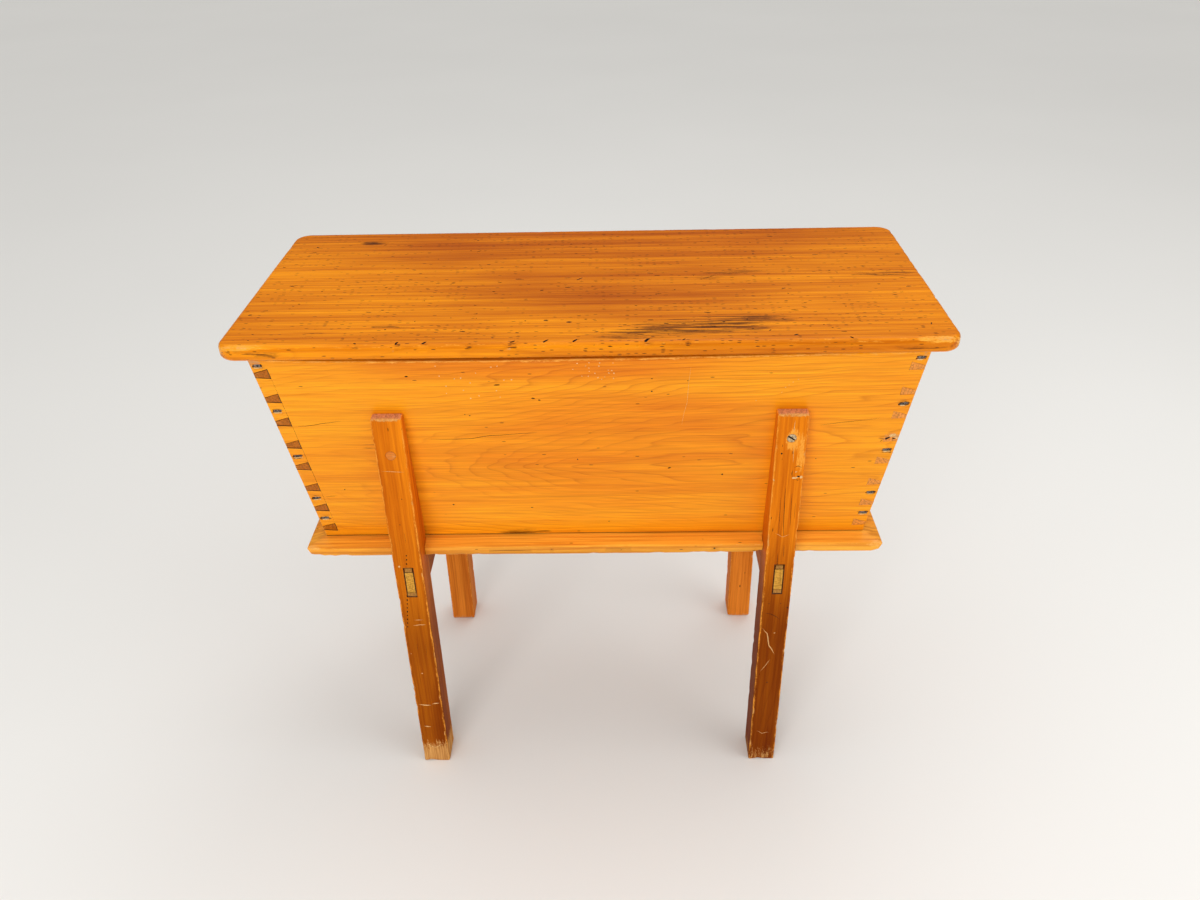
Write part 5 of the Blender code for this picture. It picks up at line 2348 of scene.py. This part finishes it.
    def batten(self, side: Side) -> dict[str, Place]:
        """Build a batten.

        Args:
            side: Left or right.

        Returns:
            Places of its screws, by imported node.
        """
        name = f"lid_batten_{side.word}"
        low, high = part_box(name)
        ends = {-1: low, 1: high}
        corners = [Vector((ends[x].x, ends[y].y, low.z)) for x, y in ROUND]
        arrises = polyline(corners, self.batten_round, 0.6)
        for corner in corners[:4]:
            arrises += polyline([corner, Vector((corner.x, corner.y, high.z))], self.batten_round, 0.6)
        WoodPiece(
            name=name, finish=self.batten_pine, slot=Slot.BOX, body=Body.LID, arrises=arrises,
            step=(0.008, 0.01, 0.01), seed=65 if side is Side.LEFT else 66,
        ).build()
        places = {}
        for end in LONG_SIDES:
            spot = ((low.x + high.x) / 2, end.sign * self.screw_spacing / 2, low.z + self.screw_sink)
            turn = tuple(Euler((math.pi, 0.0, 0.4 * side.sign + 0.3 * end.sign)))
            places[f"batten_screw_{end.word}_{side.word}"] = Place(Vector(spot), turn)
        return places

    def build(self) -> None:
        """Build the lid, its battens and their screws."""
        self.board()
        places = {node: place for side in END_SIDES for node, place in self.batten(side).items()}
        self.screw.tree().set_out("batten_screws", places, Slot.SCREW, 30.0, Body.LID)


@dataclass
class Studio:
    """A pale floor, soft light and the camera."""

    camera_at: Triple = (0.0373, -1.3126, 1.2949)
    yaw: float = -1.23
    pitch: float = 32.04
    roll: float = -1.29
    lens: float = 30.0
    sensor: float = 36.0
    floor_size: float = 30.0
    aim: Triple = (0.0, 0.0, 0.45)

    def floor(self) -> None:
        """Lay the floor."""
        graph = Surface("pale_floor")
        cloud = graph.noise(graph.coordinates(), (0.8, 0.8, 0.8))
        tint = graph.mix(cloud, paint("e8e7e4"), paint("eeedea"))
        pale = graph.close({"Base Color": tint, "Roughness": 0.85})
        half = self.floor_size / 2
        work = bmesh.new()
        work.faces.new([work.verts.new((x * half, y * half, 0.0)) for x, y in ROUND[:4]])
        as_object("floor", work, (pale,))

    def lamp(self, name: str, at: Triple, size: float, power: float, mirrored: bool) -> None:
        """Hang a soft square lamp.

        Args:
            name: Its name.
            at: Where it hangs.
            size: Side of its face.
            power: Its power in watts.
            mirrored: Whether its face shows in the finish.
        """
        data = bpy.data.lights.new(name, "AREA")
        data.size = size
        data.energy = power
        lamp = bpy.data.objects.new(name, data)
        lamp.location = at
        lamp.visible_glossy = mirrored
        lamp.rotation_euler = (Vector(self.aim) - Vector(at)).to_track_quat("-Z", "Y").to_euler()
        bpy.context.scene.collection.objects.link(lamp)

    def light(self) -> None:
        """Light the object softly from above and in front, under a pale ceiling and between dim walls."""
        self.lamp("key", (-0.8, -2.9, 1.8), 1.5, 44.0, False)
        self.lamp("fill", (2.4, -1.2, 1.6), 2.0, 20.0, False)
        self.lamp("back", (0.7, 1.5, 3.4), 1.6, 16.0, True)
        world = bpy.data.worlds.new("room")
        world.use_nodes = True
        graph = Graph(world.node_tree)
        rise = graph.parts(graph.add("ShaderNodeTexCoord").outputs["Generated"])[2]
        seen = graph.times(graph.add("ShaderNodeLightPath").outputs["Is Camera Ray"], 0.68)
        strength = graph.math("MAXIMUM", graph.span(rise, 0.35, 0.85, 0.12, 1.25), seen)
        graph.feed(world.node_tree.nodes["Background"], {"Color": paint("f2f1ef"), "Strength": strength})
        bpy.context.scene.world = world

    def camera(self) -> None:
        """Set the camera where the photograph was taken from."""
        yaw, pitch, roll = (math.radians(angle) for angle in (self.yaw, self.pitch, self.roll))
        turn = Matrix.Identity(4)
        for angle, axis in ((-yaw, "Z"), (math.pi / 2 - pitch, "X"), (roll, "Z")):
            turn = turn @ Matrix.Rotation(angle, 4, axis)
        data = bpy.data.cameras.new("camera")
        data.lens = self.lens
        data.sensor_width = self.sensor
        camera = bpy.data.objects.new("camera", data)
        camera.matrix_world = Matrix.Translation(Vector(self.camera_at)) @ turn
        bpy.context.scene.collection.objects.link(camera)
        bpy.context.scene.camera = camera

    def build(self) -> None:
        """Set the whole studio up."""
        bpy.context.scene.view_settings.view_transform = "Standard"
        self.floor()
        self.light()
        self.camera()


def main() -> None:
    """Build every sub-assembly in order."""
    logging.basicConfig(level=logging.INFO, format="%(name)s %(message)s")
    nail = Box().build()
    Stand().build(nail)
    Lid().build()
    Studio().build()


if __name__ == "__main__":
    main()
